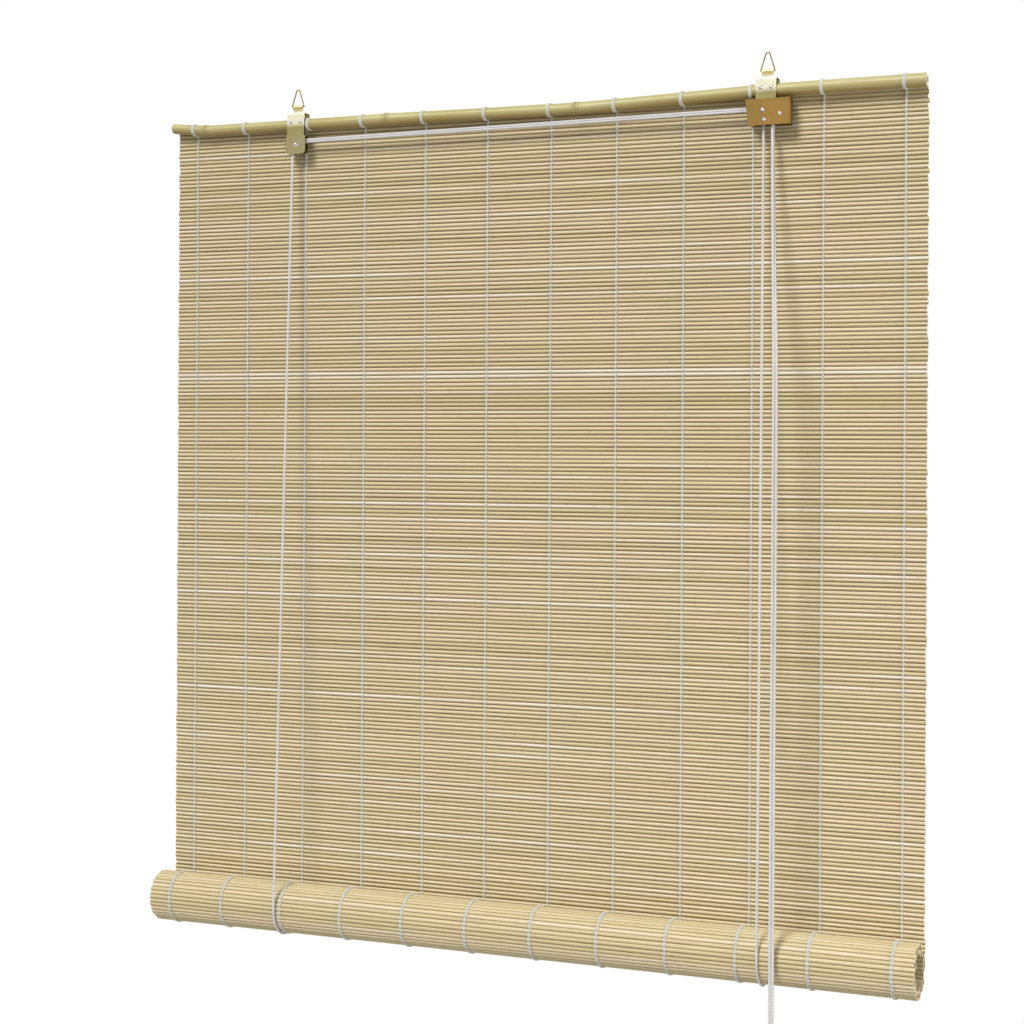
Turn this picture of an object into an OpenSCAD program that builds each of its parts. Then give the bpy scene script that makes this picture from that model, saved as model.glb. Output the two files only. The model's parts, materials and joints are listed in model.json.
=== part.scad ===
// Bamboo roll up blind, hung by two wire loops and shown partly rolled up.
// Millimetres, +Z up, front towards -Y. The origin lies midway between the seats of the two loops.

/* [Pole] */
// Length of the bamboo pole
pole_len = 1200; // [1194:1:1260]
// Diameter of the pole at its thin left end
pole_d_left = 16; // [14:0.5:18]
// Diameter of the pole at its thick right end
pole_d_right = 19.6; // [18:0.2:21]
// Distance from the pole's left end to its first growth ring
first_ring = 61; // [45:1:75]
// Distance from the first growth ring to the second
ring_pitch = 318; // [306:1:326]
// Shortening of the distance from the second ring to the third
ring_shrink = 10; // [0:1:16]
// Rise of a growth ring above the culm
ring_rise = 1.2; // [0.6:0.1:2]
// Width of a growth ring
ring_w = 14; // [8:1:18]
// Drop of the first growth ring below the brackets' middle height
first_drop = 3.2; // [0:0.1:4]
// Drop of the second growth ring below that height
second_drop = 2.8; // [0:0.1:4]
// Drop of the third growth ring below that height
pole_sag = 5.2; // [2:0.2:8]
// Rise of the pole's left end above that height
end_rise = 3.4; // [0:0.2:6]
// Rise of the pole's right end above that height
right_rise = 3.8; // [2:0.2:6]
// Diameter of the hollow in the pole's ends
hollow_d = 8; // [5:0.5:9]
// Depth of that hollow
hollow_len = 40; // [20:1:44]

/* [Mat] */
// Width of the reed mat
mat_w = 1190; // [1170:1:1192]
// Shift of the mat to the right of the pole's middle
mat_shift = 4; // [-4:0.5:4]
// Full drop of the blind, from the pole's top to the mat's lower edge
blind_drop = 1600; // [1500:5:1680]
// Depth of the first reed's middle below the brackets' middle height
mat_top = 4; // [0:0.5:8]
// Diameter of a reed
reed_d = 5.4; // [4.8:0.1:5.6]
// Distance from one reed to the next
reed_pitch = 6.05; // [5.85:0.05:6.5]
// Thickness of the fibres that join neighbouring reeds
web_t = 1.2; // [0.8:0.1:2]
// Distance that an open gap between two reeds keeps from the strings
gap_margin = 12; // [6:1:20]

/* [Strings] */
// Diameter of a weaving string
string_d = 1.7; // [1.2:0.1:2]
// Distance from the mat's edges to its outer strings
string_inset = 30; // [20:1:40]
// Distance from the mat's left edge to the first inner string
string_first = 122; // [110:1:128]
// Distance from one inner string to the next
string_pitch = 102.5; // [100:0.5:104]
// Number of inner strings
inner_strings = 10; // [8:1:10]

/* [Roll] */
// Height of the brackets above the roll's axis
roll_drop = 1213.5; // [1150:0.5:1260]
// Outer diameter of the roll
roll_d = 81; // [76:0.5:90]
// Distance from one turn of the roll to the next
turn_pitch = 7.4; // [6.4:0.1:8]
// Diameter of the rod at the mat's lower edge
rod_d = 10; // [7:0.5:14]
// Gap along the mat between the last reed and the rod
rod_gap = 1; // [0.6:0.1:3]

/* [Brackets] */
// Distance between the middles of the two brackets
bracket_span = 750; // [744:1:756]
// Width of a bracket's strap
bracket_w = 29.5; // [26:0.5:32]
// Thickness of the sheet metal
sheet_t = 1.2; // [0.8:0.1:1.5]
// Outer radius of a fold in the sheet
fold_r = 2.4; // [2:0.1:3]
// Height of the strap's top above the pole's axis
bracket_top = 18; // [17:0.5:22]
// Height of the lower edge of the strap's rear lip above the pole's axis
lip_bottom = 6; // [3:0.5:8]
// Width of the tab that holds a hanger loop
tab_w = 16.5; // [12:0.5:16.5]
// Height of the tab's curl above the strap's top
curl_rise = 9.5; // [6:0.5:14]
// Distance between the two screws of a bracket
screw_span = 15.8; // [12:0.2:18]
// Height of the screws above the pole's axis
screw_rise = 3.5; // [0:0.5:4]
// Diameter of a screw's shank
screw_d = 2.6; // [2:0.1:3]
// Length of a screw under its head
screw_len = 10; // [6:0.5:12]
// Diameter of a domed head
head_d = 6.4; // [5:0.2:7]
// Height of a domed head
head_h = 2; // [1:0.1:2.6]

/* [Hanger loops] */
// Diameter of the loop's wire
wire_d = 2.2; // [1.6:0.1:2.6]
// Base of the triangle along which the loop's wire is bent
loop_w = 21.4; // [21.2:0.1:26]
// Height of that triangle, up to the point where its two sides would meet
loop_h = 33.7; // [30:0.1:40]
// Bend radius of the wire's middle at the loop's base
loop_bend = 1.6; // [1.5:0.1:1.6]
// Bend radius of the wire's middle at the loop's tip
tip_bend = 3.1; // [2:0.1:3.6]

/* [Pulley] */
// Depth of both sheaves' axes below the pole's axis
sheave_drop = 32; // [30:0.5:34]
// Outer diameter of a sheave
sheave_d = 17; // [15.5:0.5:17.4]
// Radius at which the middle of the cord runs on a sheave
cord_run_r = 7; // [6:0.1:7]
// Width of one groove of a sheave with its flanges
groove_w = 6; // [5.4:0.1:7]
// Thickness of a flange at its rim
rim_t = 0.5; // [0.3:0.1:0.8]
// Diameter of the pins that carry the sheaves
pin_d = 4; // [3:0.1:5]
// Depth of the pulley cover's upper edge below the pole's axis
pulley_top = 18.5; // [17:0.5:20]
// Depth of the pulley cover's lower edge below the pole's axis
pulley_bottom = 46.5; // [44:0.5:52]
// Radius of the pulley cover's lower corners
pulley_corner = 6; // [2:0.5:8]

/* [Cord lock] */
// Distance from the right bracket's middle to the lock's left edge
lock_left = 29.5; // [24:0.5:34]
// Distance from the right bracket's middle to the lock's right edge
lock_right = 35.5; // [32:0.5:40]
// Gap between the pole's ties and the lock's upper edge
lock_gap = 1.2; // [0.4:0.1:3]
// Depth of the lock's lower edge below the pole's axis
lock_bottom = 50.5; // [50:0.5:62]
// Slant of the lock's left edge
lock_slant = 4.5; // [0:0.5:8]
// Distance from the right bracket's middle to the lock sheave's axis
lock_sheave_shift = 1.5; // [0:0.1:2]
// Distance from the right bracket's middle to the locking dog's pin
dog_shift = 20.2; // [20:0.1:22]
// Depth of the locking dog's pin below the pole's axis
dog_drop = 35; // [34:0.5:37]
// Radius of the locking dog's hub
dog_hub_r = 5.5; // [4:0.1:6]
// Number of teeth on the locking dog
dog_teeth = 8; // [5:1:10]
// Depth of a tooth
tooth_depth = 0.8; // [0.4:0.1:1.2]
// Diameter of the rivets and of the dog's pin
rivet_d = 3; // [2:0.1:3.4]
// Depth of the upper rivet below the pole's axis
upper_rivet_drop = 28.5; // [24:0.5:34]
// Depth of the lower rivet below the pole's axis
lower_rivet_drop = 42.5; // [40:0.5:47]
// Distance from the upper rivet to the right bracket's middle
upper_rivet_shift = 4.7; // [0:0.1:9]
// Distance from the lower rivet to the right bracket's middle
lower_rivet_shift = 2.3; // [0:0.1:9]

/* [Cords] */
// Diameter of the lift and pull cords
cord_d = 3.2; // [2.6:0.1:3.4]
// Diameter of the knot at a lift cord's fixed end
knot_d = 6; // [4.5:0.1:6.4]
// Bend radius of a lift cord where it turns down behind the mat
cord_bend = 6.4; // [6:0.1:7]
// Distance of the left cord's sling from the left bracket's middle, towards the pole's middle
left_sling_shift = 0; // [-4:0.5:2]
// Distance of the right cord's sling from the right bracket's middle, away from the pole's middle
right_sling_shift = 8; // [0:0.5:10]

/* [Tassel] */
// Diameter of the tassel
tassel_d = 13; // [11.6:0.2:13]
// Length of the tassel
tassel_len = 32; // [24:1:45]
// Depth of the tassel's hole
tassel_hole = 14; // [8:0.5:18]
// Depth of the tassel's top below the brackets' middle height
tassel_drop = 1310; // [1306:0.5:1320]

/* [Clearances] */
// Gap between pieces that move past each other
run_gap = 0.3; // [0.2:0.05:0.4]
// Radial clearance of a pin or wire in its hole
pin_fit = 0.05; // [0.02:0.01:0.08]
// Gap between pieces that lie on each other
lay_gap = 0.1; // [0.05:0.01:0.2]

/* [Hidden] */
$fn = 48;

// Colours of the pieces
bamboo_colour = "#bab282";
reed_colour = "#c8b88c";
string_colour = "#d8dccf";
brass_colour = "#a98c5a";
pale_brass_colour = "#b3a987";
steel_colour = "#c4c4c0";
cord_colour = "#dcd8d2";
wood_colour = "#c9a86c";

// Bamboo pole: its back runs straight along the mat, and it kinks at its growth rings. The last ring
// is worn flat under the right strap, and each bracket sits at the pole's own height there
half_pole = pole_len / 2;
bracket_x = bracket_span / 2;
pole_back = 9.5;
ring_step = 0.3;
ring_steps = 8;
ring_x = [for (i = [0:2]) -half_pole + first_ring + i * ring_pitch - ring_shrink * i * (i - 1) / 2];
left_share = (-bracket_x - ring_x[0]) / (ring_x[1] - ring_x[0]);
left_z = -first_drop * (1 - left_share) - second_drop * left_share;
right_z = -left_z;
pole_xz = [[-half_pole, end_rise], [ring_x[0], -first_drop], [ring_x[1], -second_drop],
    [ring_x[2], -pole_sag], [bracket_x, right_z], [half_pole, right_rise]];
flat_rise = 0.2;
function pole_r(x) = (pole_d_left + (pole_d_right - pole_d_left) * (x + half_pole) / pole_len) / 2;
function pole_y(x) = pole_back - pole_r(x);
function pole_z(x) = lookup(x, pole_xz);
pole_points = [for (p = pole_xz) [p[0], pole_y(p[0]), p[1]]];

// Reed mat: straight rows of reeds, the lower ones wound into the roll
reed_r = reed_d / 2;
string_r = string_d / 2;
tie_reach = string_d + 2 * lay_gap;
mat_x0 = mat_shift - mat_w / 2;
mat_x1 = mat_shift + mat_w / 2;
mat_y = pole_back + tie_reach + reed_r;
reeds_hung = floor((roll_drop - mat_top) / reed_pitch) + 1;
reeds_all = floor((blind_drop - pole_r(0) - mat_top) / reed_pitch);
reeds_rolled = reeds_all - reeds_hung;
function reed_z(k) = -mat_top - k * reed_pitch;

// Open gaps: one in every second row, in another bay between strings each time
gap_bite = 0.2;
gap_h = reed_pitch - reed_d + gap_bite;
gap_step = 7;

// Strings
string_x = concat([mat_x0 + string_inset],
    [for (i = [0:inner_strings - 1]) mat_x0 + string_first + i * string_pitch],
    [mat_x1 - string_inset]);
front_string_y = mat_y - reed_r - lay_gap - string_r;
back_string_y = mat_y + reed_r + lay_gap + string_r;
tie_step = string_d + lay_gap;
tie_half = tie_step + string_d / 2;
tie_room = bracket_w / 2 + tie_half + run_gap;
ring_room = ring_w / 2 + tie_half + run_gap;
// Place nearest to x that keeps its room from all the given places, taken in turn
function clear_of(x, places, room, i = 0) = i == len(places) ? x
    : clear_of(abs(x - places[i]) < room ? places[i] + (x < places[i] ? -room : room) : x,
        places, room, i + 1);
function tie_x(x) = clear_of(clear_of(x, ring_x, ring_room), [-bracket_x, bracket_x], tie_room);
function string_top(x) = pole_z(x) - sqrt(pow(pole_r(x) + tie_reach, 2)
    - pow(front_string_y - string_r - pole_y(x), 2)) - run_gap;

// Roll: half turns of falling radius, the lower ones round the roll's axis
roll_r = roll_d / 2;
roll_y = mat_y + reed_r - roll_r;
roll_z = -roll_drop;
upper_y = roll_y - turn_pitch / 2;
roll_start = reed_pitch - (reed_z(reeds_hung - 1) - roll_z);
string_break = 0.4;
string_trim = 24;
function half_r(k) = roll_r - reed_r - k * turn_pitch / 2;
function half_point(k, a, r) = k % 2 == 0
    ? [roll_y + r * cos(a), roll_z - r * sin(a)]
    : [upper_y - r * cos(a), roll_z + r * sin(a)];
function on_roll(s, inset = 0, k = 0) = s <= PI * half_r(k)
    ? half_point(k, s / half_r(k) * 180 / PI, half_r(k) - inset)
    : on_roll(s - PI * half_r(k), inset, k + 1);
roll_points = [for (i = [0:reeds_rolled - 1]) on_roll(roll_start + i * reed_pitch)];
rod_step = sqrt(rod_d * reed_d) + rod_gap;
rod_point = on_roll(roll_start + (reeds_rolled - 1) * reed_pitch + rod_step, rod_d / 2 - reed_r);

// Brackets and hanger loops
function seat_y(x) = pole_y(x) - pole_r(x) - run_gap;
lip_y = pole_back + run_gap + sheet_t;
tab_y = 0;
curl_z = bracket_top + curl_rise;
curl_in_r = wire_d / 2 + pin_fit;
curl_r = curl_in_r + sheet_t;
loop_tip = loop_h - tip_bend / sin(atan2(loop_w / 2, loop_h)) + tip_bend;
hang_z = curl_z + loop_tip - wire_d / 2;
window_w = tab_w + 1;
window_end = 2.4;
bend_thin = 0.1;
bend_lap = 5;

// Sheaves, pulley cover and lock
groove_bottom_r = cord_run_r - cord_d / 2 - run_gap / 2;
groove_floor = cord_d + run_gap;
left_sheave_y = seat_y(-bracket_x) + run_gap + groove_w / 2;
lock_sheave_x = bracket_x + lock_sheave_shift;
lock_front_y = seat_y(bracket_x) + run_gap + groove_w / 2;
lock_rear_y = lock_front_y + groove_w;
pulley_rear_y = left_sheave_y + groove_w / 2 + run_gap;
lock_rear_plate_y = lock_rear_y + groove_w / 2 + run_gap;
cover_front = sheet_t + lay_gap;
lock_top = pole_d_right / 2 + tie_reach + lock_gap;
leg_margin = 2;
dog_x = bracket_x + dog_shift;
dog_reach = dog_shift - lock_sheave_shift - cord_run_r - cord_d / 2 - 2 * run_gap;
dog_gain = 0.035;
dog_spread = 40;

// Cords
cord_sides = 8;
arc_steps = 8;
sling_r = roll_r + run_gap + cord_d / 2;
sling_room = cord_d / 2 + string_r + run_gap;
left_sling_x = clear_of(-bracket_x + left_sling_shift, string_x, sling_room);
right_sling_x = clear_of(bracket_x + right_sling_shift, string_x, sling_room);
knot_y = lip_y - sheet_t - knot_d / 2 - lay_gap;
function knot_z(x) = (pole_r(x) + bracket_top - sheet_t) / 2;
pull_y = roll_y - roll_r - tassel_d / 2 - 2 * run_gap;
pull_x = 405;
strand_gap = 2.1;
pull_start_x = lock_sheave_x + cord_run_r;
// Places along the pull cord, from the lock's sheave to the roll's height: share of the way, height
pull_stations = [[0, -50], [0.01, -80], [0.05, -140], [0.12, -230], [0.22, -350], [0.34, -490],
    [0.48, -640], [0.62, -790], [0.75, -930], [0.87, -1060], [0.96, -1150], [1, -1205]];
function pull_route(y, side) = concat([[pull_start_x, y, right_z - sheave_drop - run_gap]],
    [for (p = pull_stations) [pull_start_x + (pull_x + side * strand_gap - pull_start_x) * p[0],
        y + (pull_y - y) * p[0], p[1]]]);
pull_split = -1205;

// Unit tangent at point i of a route
function heading(p, i) = let (d = p[min(i + 1, len(p) - 1)] - p[max(i - 1, 0)]) d / norm(d);
function unit(v) = v / norm(v);
function half_angle(p, q, r) = acos(unit(q - p) * unit(r - p)) / 2;
function across(t, side) = let (n = cross(t, side)) n / norm(n);

// Points of an arc in a plane
function arc(c, r, from, to, steps = 6) =
    [for (i = [0:steps]) c + r * [cos(from + (to - from) * i / steps), sin(from + (to - from) * i / steps)]];

// Cord along a route; side is a direction that the route never runs in
module cord(route, side) {
    n = len(route);
    rings = [for (i = [0:n - 1])
        let (t = heading(route, i), u = across(t, side), v = cross(t, u))
        for (j = [0:cord_sides - 1])
            route[i] + cord_d / 2 * (cos(360 * j / cord_sides) * u + sin(360 * j / cord_sides) * v)];
    walls = [for (i = [0:n - 2]) for (j = [0:cord_sides - 1])
        let (k = (j + 1) % cord_sides)
        [i * cord_sides + j, (i + 1) * cord_sides + j, (i + 1) * cord_sides + k, i * cord_sides + k]];
    first = [for (j = [0:cord_sides - 1]) j];
    last = [for (j = [cord_sides - 1:-1:0]) (n - 1) * cord_sides + j];
    polyhedron(rings, concat(walls, [first], [last]), convexity = 6);
}

// Moves a piece from the brackets' middle height to the origin midway between the loops' seats
module hung_up() {
    translate([0, 0, -hang_z]) children();
}

// The same from the left and from the right bracket's own height
module at_left() {
    hung_up() translate([0, 0, left_z]) children();
}

module at_right() {
    hung_up() translate([0, 0, right_z]) children();
}

// Extrudes an outline drawn in Y and Z along X
module along_x(from, to) {
    translate([from, 0, 0]) rotate([90, 0, 90]) linear_extrude(to - from) children();
}

// Extrudes an outline drawn in X and Z backwards from the plane y
module backwards(y, depth) {
    translate([0, y + depth, 0]) rotate([90, 0, 0]) linear_extrude(depth) children();
}

// Ring of round section about X, over the given angles from +Y towards +Z
module ring(x, y, z, r, d, from = 0, sweep = 360) {
    translate([x, y, z]) rotate([90, 0, 90]) rotate(from)
        rotate_extrude(angle = sweep) translate([r, 0]) circle(d = d);
}

// Round bar between two points
module bar(a, b, r_a, r_b) {
    d = b - a;
    translate(a) rotate([0, acos(d[2] / norm(d)), atan2(d[1], d[0])])
        cylinder(h = norm(d), r1 = r_a, r2 = r_b);
}

// Pin that runs backwards from the plane y
module pin(x, y, z, d, length) {
    translate([x, y + length, z]) rotate([90, 0, 0]) cylinder(h = length, d = d);
}

// Domed head in front of the plane y
module dome(x, y, z, d, h) {
    ball_r = (d * d / 4 + h * h) / (2 * h);
    translate([x, y, z]) rotate([90, 0, 0]) intersection() {
        translate([0, 0, h - ball_r]) sphere(r = ball_r);
        cylinder(h = h + 1, d = d + 1);
    }
}

module growth_ring(i) {
    r = pole_r(pole_points[i][0]);
    outline = concat([[0, -ring_w / 2]],
        [for (s = [0:ring_steps]) let (t = s / ring_steps - 0.5)
            [r + ring_step + (ring_rise - ring_step) * (1 + cos(360 * t)) / 2, t * ring_w]],
        [[0, ring_w / 2]]);
    translate(pole_points[i]) rotate([0, 90, 0]) rotate_extrude() polygon(outline);
}

// Straight length of the pole; an end at a growth ring stops inside that ring
module culm(from, to, ring_before, ring_after) {
    step = unit(to - from) * ring_w / 8;
    a = ring_before ? from + step : from;
    b = ring_after ? to - step : to;
    bar(a, b, pole_r(a[0]), pole_r(b[0]));
}

module end_hollow(end, inner) {
    d = (inner - end) / norm(inner - end);
    bar(end - d, end + hollow_len * d, hollow_d / 2, hollow_d / 2);
}

module bamboo_pole() {
    last = len(pole_points) - 1;
    color(bamboo_colour) hung_up() difference() {
        union() {
            for (i = [0:last - 1]) culm(pole_points[i], pole_points[i + 1], i > 0, i < last - 1);
            for (i = [1:3]) growth_ring(i);
            translate(pole_points[last - 1]) rotate([0, 90, 0])
                cylinder(h = ring_w / 2, r = pole_r(bracket_x) + flat_rise, center = true);
        }
        end_hollow(pole_points[0], pole_points[1]);
        end_hollow(pole_points[last], pole_points[last - 1]);
        for (b = [-bracket_x, bracket_x], s = [-1, 1])
            pin(b + s * screw_span / 2, seat_y(b) - 1, pole_z(b) + screw_rise, screw_d + 2 * pin_fit,
                screw_len - sheet_t + 1 + lay_gap);
    }
}

module pole_ties() {
    color(string_colour) hung_up() for (x = string_x, s = [-1:1]) {
        turn_x = tie_x(x) + s * tie_step;
        ring(turn_x, pole_y(turn_x), pole_z(turn_x), pole_r(turn_x) + lay_gap + string_r, string_d);
    }
}

module open_gap(k) {
    bay = (k * gap_step) % (len(string_x) - 1);
    from = string_x[bay] + gap_margin;
    to = string_x[bay + 1] - gap_margin;
    translate([from, mat_y - web_t, reed_z(k) - (reed_pitch + gap_h) / 2])
        cube([to - from, 2 * web_t, gap_h]);
}

module reed_mat() {
    color(reed_colour) hung_up() difference() {
        along_x(mat_x0, mat_x1) {
            for (k = [0:reeds_hung - 1]) translate([mat_y, reed_z(k)]) circle(r = reed_r);
            translate([mat_y - web_t / 2, reed_z(reeds_hung - 1)])
                square([web_t, (reeds_hung - 1) * reed_pitch]);
        }
        for (k = [0:2:reeds_hung - 2]) open_gap(k);
    }
}

module mat_strings() {
    color(string_colour) hung_up() for (x = string_x) {
        bar([x, front_string_y, string_top(x)], [x, front_string_y, roll_z + roll_r * 0.6],
            string_r, string_r);
        bar([x, back_string_y, reed_z(0)], [x, back_string_y, roll_z + run_gap], string_r, string_r);
    }
}

module fibre(a, b) {
    d = b - a;
    translate(a) rotate(atan2(d[1], d[0])) translate([0, -web_t / 2]) square([norm(d), web_t]);
}

module mat_roll() {
    color(reed_colour) hung_up() along_x(mat_x0, mat_x1) {
        for (p = roll_points) translate(p) circle(r = reed_r);
        for (i = [1:reeds_rolled - 1]) fibre(roll_points[i - 1], roll_points[i]);
    }
}

module roll_strings() {
    r = roll_r + lay_gap + string_r;
    color(string_colour) hung_up() for (x = string_x) {
        ring(x, roll_y, roll_z, r, string_d, 180 + string_break, 180 - string_break);
        ring(x, upper_y, roll_z, r - turn_pitch / 2, string_d, string_trim, 180 - string_trim);
    }
}

module bottom_rod() {
    color(bamboo_colour) hung_up() along_x(mat_x0, mat_x1) translate(rod_point) circle(d = rod_d);
}

// Side view of a strap: long front leg, flat top and short rear lip
module strap_outline(x, leg_bottom) {
    front = seat_y(x) - sheet_t;
    in_r = fold_r - sheet_t;
    polygon(concat([[front, leg_bottom]],
        arc([front + fold_r, bracket_top - fold_r], fold_r, 180, 90),
        arc([lip_y - fold_r, bracket_top - fold_r], fold_r, 90, 0),
        [[lip_y, lip_bottom], [lip_y - sheet_t, lip_bottom]],
        arc([lip_y - fold_r, bracket_top - fold_r], in_r, 0, 90),
        arc([front + fold_r, bracket_top - fold_r], in_r, 90, 180),
        [[front + sheet_t, leg_bottom]]));
}

// Folded strap with its lanced tab and curl; the cord's fixed end passes the hole in its rear lip
module bracket(x, leg_bottom, cord_x) {
    difference() {
        union() {
            along_x(x - bracket_w / 2, x + bracket_w / 2) strap_outline(x, leg_bottom);
            translate([x - tab_w / 2, tab_y - sheet_t / 2, bracket_top - sheet_t])
                cube([tab_w, sheet_t, curl_rise + sheet_t - wire_d / 2 - sheet_t / 2]);
            along_x(x - tab_w / 2, x + tab_w / 2) translate([tab_y, curl_z]) circle(r = curl_r);
        }
        along_x(x - tab_w, x + tab_w) translate([tab_y, curl_z]) circle(r = curl_in_r);
        translate([x - window_w / 2, tab_y + sheet_t / 2, bracket_top - 2 * sheet_t])
            cube([window_w, lip_y - window_end - sheet_t - tab_y, 4 * sheet_t]);
        for (s = [-1, 1])
            pin(x + s * screw_span / 2, seat_y(x) - 2 * sheet_t, screw_rise, screw_d + 2 * pin_fit,
                3 * sheet_t);
        pin(cord_x, lip_y - 2 * sheet_t, knot_z(x), cord_d + 2 * run_gap, 3 * sheet_t);
    }
}

module left_bracket() {
    color(pale_brass_colour) at_left() difference() {
        bracket(-bracket_x, leg_margin - pulley_bottom, left_sling_x);
        pin(-bracket_x, seat_y(-bracket_x) - 2 * sheet_t, -sheave_drop, pin_d + 2 * pin_fit, 3 * sheet_t);
    }
}

module right_bracket() {
    y = seat_y(bracket_x) - 2 * sheet_t;
    color(pale_brass_colour) at_right() difference() {
        bracket(bracket_x, 2 * leg_margin - lock_bottom, right_sling_x);
        pin(lock_sheave_x, y, -sheave_drop, pin_d + 2 * pin_fit, 3 * sheet_t);
        pin(bracket_x - upper_rivet_shift, y, -upper_rivet_drop, rivet_d + 2 * pin_fit, 3 * sheet_t);
        pin(bracket_x - lower_rivet_shift, y, -lower_rivet_drop, rivet_d + 2 * pin_fit, 3 * sheet_t);
    }
}

module bracket_screws() {
    color(steel_colour) hung_up() for (b = [-bracket_x, bracket_x], s = [-1, 1]) {
        x = b + s * screw_span / 2;
        front = seat_y(b) - sheet_t;
        dome(x, front, pole_z(b) + screw_rise, head_d, head_h);
        pin(x, front, pole_z(b) + screw_rise, screw_d, screw_len);
    }
}

// Triangular loop of wire: three straight sides, and bends a little thinner that run into them
module hanger_loop(x) {
    corners = [[-loop_w / 2, 0], [loop_w / 2, 0], [0, loop_h]];
    bends = [loop_bend, loop_bend, tip_bend];
    translate([x, tab_y, curl_z]) for (i = [0:2]) {
        here = corners[i];
        next = corners[(i + 1) % 3];
        last = corners[(i + 2) % 3];
        half = half_angle(here, next, last);
        start = here + unit(next - here) * bends[i] / tan(half);
        end = next + unit(here - next) * bends[(i + 1) % 3] / tan(half_angle(next, last, here));
        centre = here + unit(unit(next - here) + unit(last - here)) * bends[i] / sin(half);
        spoke = here + unit(last - here) * bends[i] / tan(half) - centre;
        bar([start[0], 0, start[1]], [end[0], 0, end[1]], wire_d / 2, wire_d / 2);
        translate([centre[0], 0, centre[1]]) rotate([90, 0, 0])
            rotate(atan2(spoke[1], spoke[0]) - bend_lap)
            rotate_extrude(angle = 180 - 2 * half + 2 * bend_lap)
            translate([bends[i], 0]) circle(d = wire_d - bend_thin);
    }
}

module left_hanger_loop() {
    color(steel_colour) at_left() hanger_loop(-bracket_x);
}

module right_hanger_loop() {
    color(steel_colour) at_right() hanger_loop(bracket_x);
}

// Top view of a sheet folded to a U round its side at the larger x
module fold_outline(open_x, fold_x, front, rear) {
    in_r = fold_r - sheet_t;
    polygon(concat([[open_x, front]],
        arc([fold_x - fold_r, front + fold_r], fold_r, 270, 360),
        arc([fold_x - fold_r, rear - fold_r], fold_r, 0, 90),
        [[open_x, rear], [open_x, rear - sheet_t]],
        arc([fold_x - fold_r, rear - fold_r], in_r, 90, 0),
        arc([fold_x - fold_r, front + fold_r], in_r, 360, 270),
        [[open_x, front + sheet_t]]));
}

// Folded cover: the fold seen from above, cut to the outline seen from the front
module folded_cover(open_x, fold_x, front, rear, height) {
    intersection() {
        translate([0, 0, -height]) linear_extrude(height) fold_outline(open_x, fold_x, front, rear);
        backwards(front - 1, rear - front + 2) children();
    }
}

module left_pulley_cover() {
    x = -bracket_x;
    half_w = bracket_w / 2 + lay_gap + fold_r;
    front = seat_y(x) - sheet_t - cover_front;
    color(brass_colour) at_left() translate([x, 0, 0]) mirror([1, 0, 0]) difference() {
        folded_cover(-half_w, half_w, front, pulley_rear_y + sheet_t, pulley_bottom)
            polygon(concat([[-half_w, -pulley_top], [half_w, -pulley_top]],
                arc([half_w - pulley_corner, pulley_corner - pulley_bottom], pulley_corner, 0, -90),
                arc([pulley_corner - half_w, pulley_corner - pulley_bottom], pulley_corner, 270, 180)));
        pin(0, front - 1, -sheave_drop, pin_d + 2 * pin_fit, pulley_rear_y - front + 3 * sheet_t);
    }
}

// Outline of a sheave with any number of grooves, as radius and place along its axis
function sheave_outline(grooves) = concat([[pin_d / 2 + pin_fit, -groove_w / 2]],
    [for (g = [0:grooves - 1]) let (m = g * groove_w)
        each [[sheave_d / 2, m - groove_w / 2], [sheave_d / 2, m - groove_w / 2 + rim_t],
            [groove_bottom_r, m - groove_floor / 2], [groove_bottom_r, m + groove_floor / 2],
            [sheave_d / 2, m + groove_w / 2 - rim_t]]],
    [[sheave_d / 2, (grooves - 0.5) * groove_w], [pin_d / 2 + pin_fit, (grooves - 0.5) * groove_w]]);

module sheave(x, y, grooves) {
    translate([x, y, -sheave_drop]) rotate([-90, 0, 0]) rotate_extrude() polygon(sheave_outline(grooves));
}

module left_sheave() {
    color(steel_colour) at_left() sheave(-bracket_x, left_sheave_y, 1);
}

module left_sheave_pin() {
    front = seat_y(-bracket_x) - sheet_t - cover_front;
    length = pulley_rear_y + sheet_t - front;
    color(steel_colour) at_left() {
        dome(-bracket_x, front, -sheave_drop, head_d + 1, head_h);
        pin(-bracket_x, front, -sheave_drop, pin_d, length);
    }
}

module lock_cover() {
    front = seat_y(bracket_x) - sheet_t - cover_front;
    rear = lock_rear_plate_y + sheet_t;
    lid_x = bracket_w / 2 + run_gap;
    color(brass_colour) at_right() translate([bracket_x, 0, 0]) difference() {
        union() {
            folded_cover(-lock_left, lock_right, front, rear, lock_bottom)
                polygon([[-lock_left, -lock_top], [lock_right, -lock_top], [lock_right, -lock_bottom],
                    [lock_slant - lock_left, -lock_bottom]]);
            translate([lid_x, front + sheet_t / 2, -lock_top - sheet_t])
                cube([lock_right - lid_x - sheet_t / 2, rear - front - sheet_t, sheet_t]);
        }
        pin(lock_sheave_shift, lock_rear_plate_y - sheet_t, -sheave_drop, pin_d + 2 * pin_fit, 3 * sheet_t);
        pin(dog_shift, front - 1, -dog_drop, rivet_d + 2 * pin_fit, rear - front + 2);
        pin(-upper_rivet_shift, front - 1, -upper_rivet_drop, rivet_d + 2 * pin_fit, 2 * sheet_t);
        pin(-lower_rivet_shift, front - 1, -lower_rivet_drop, rivet_d + 2 * pin_fit, 2 * sheet_t);
    }
}

module lock_sheave() {
    color(steel_colour) at_right() sheave(lock_sheave_x, lock_front_y, 2);
}

module lock_sheave_pin() {
    front = seat_y(bracket_x) - sheet_t;
    color(steel_colour) at_right()
        pin(lock_sheave_x, front, -sheave_drop, pin_d, lock_rear_plate_y + sheet_t - front);
}

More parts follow.
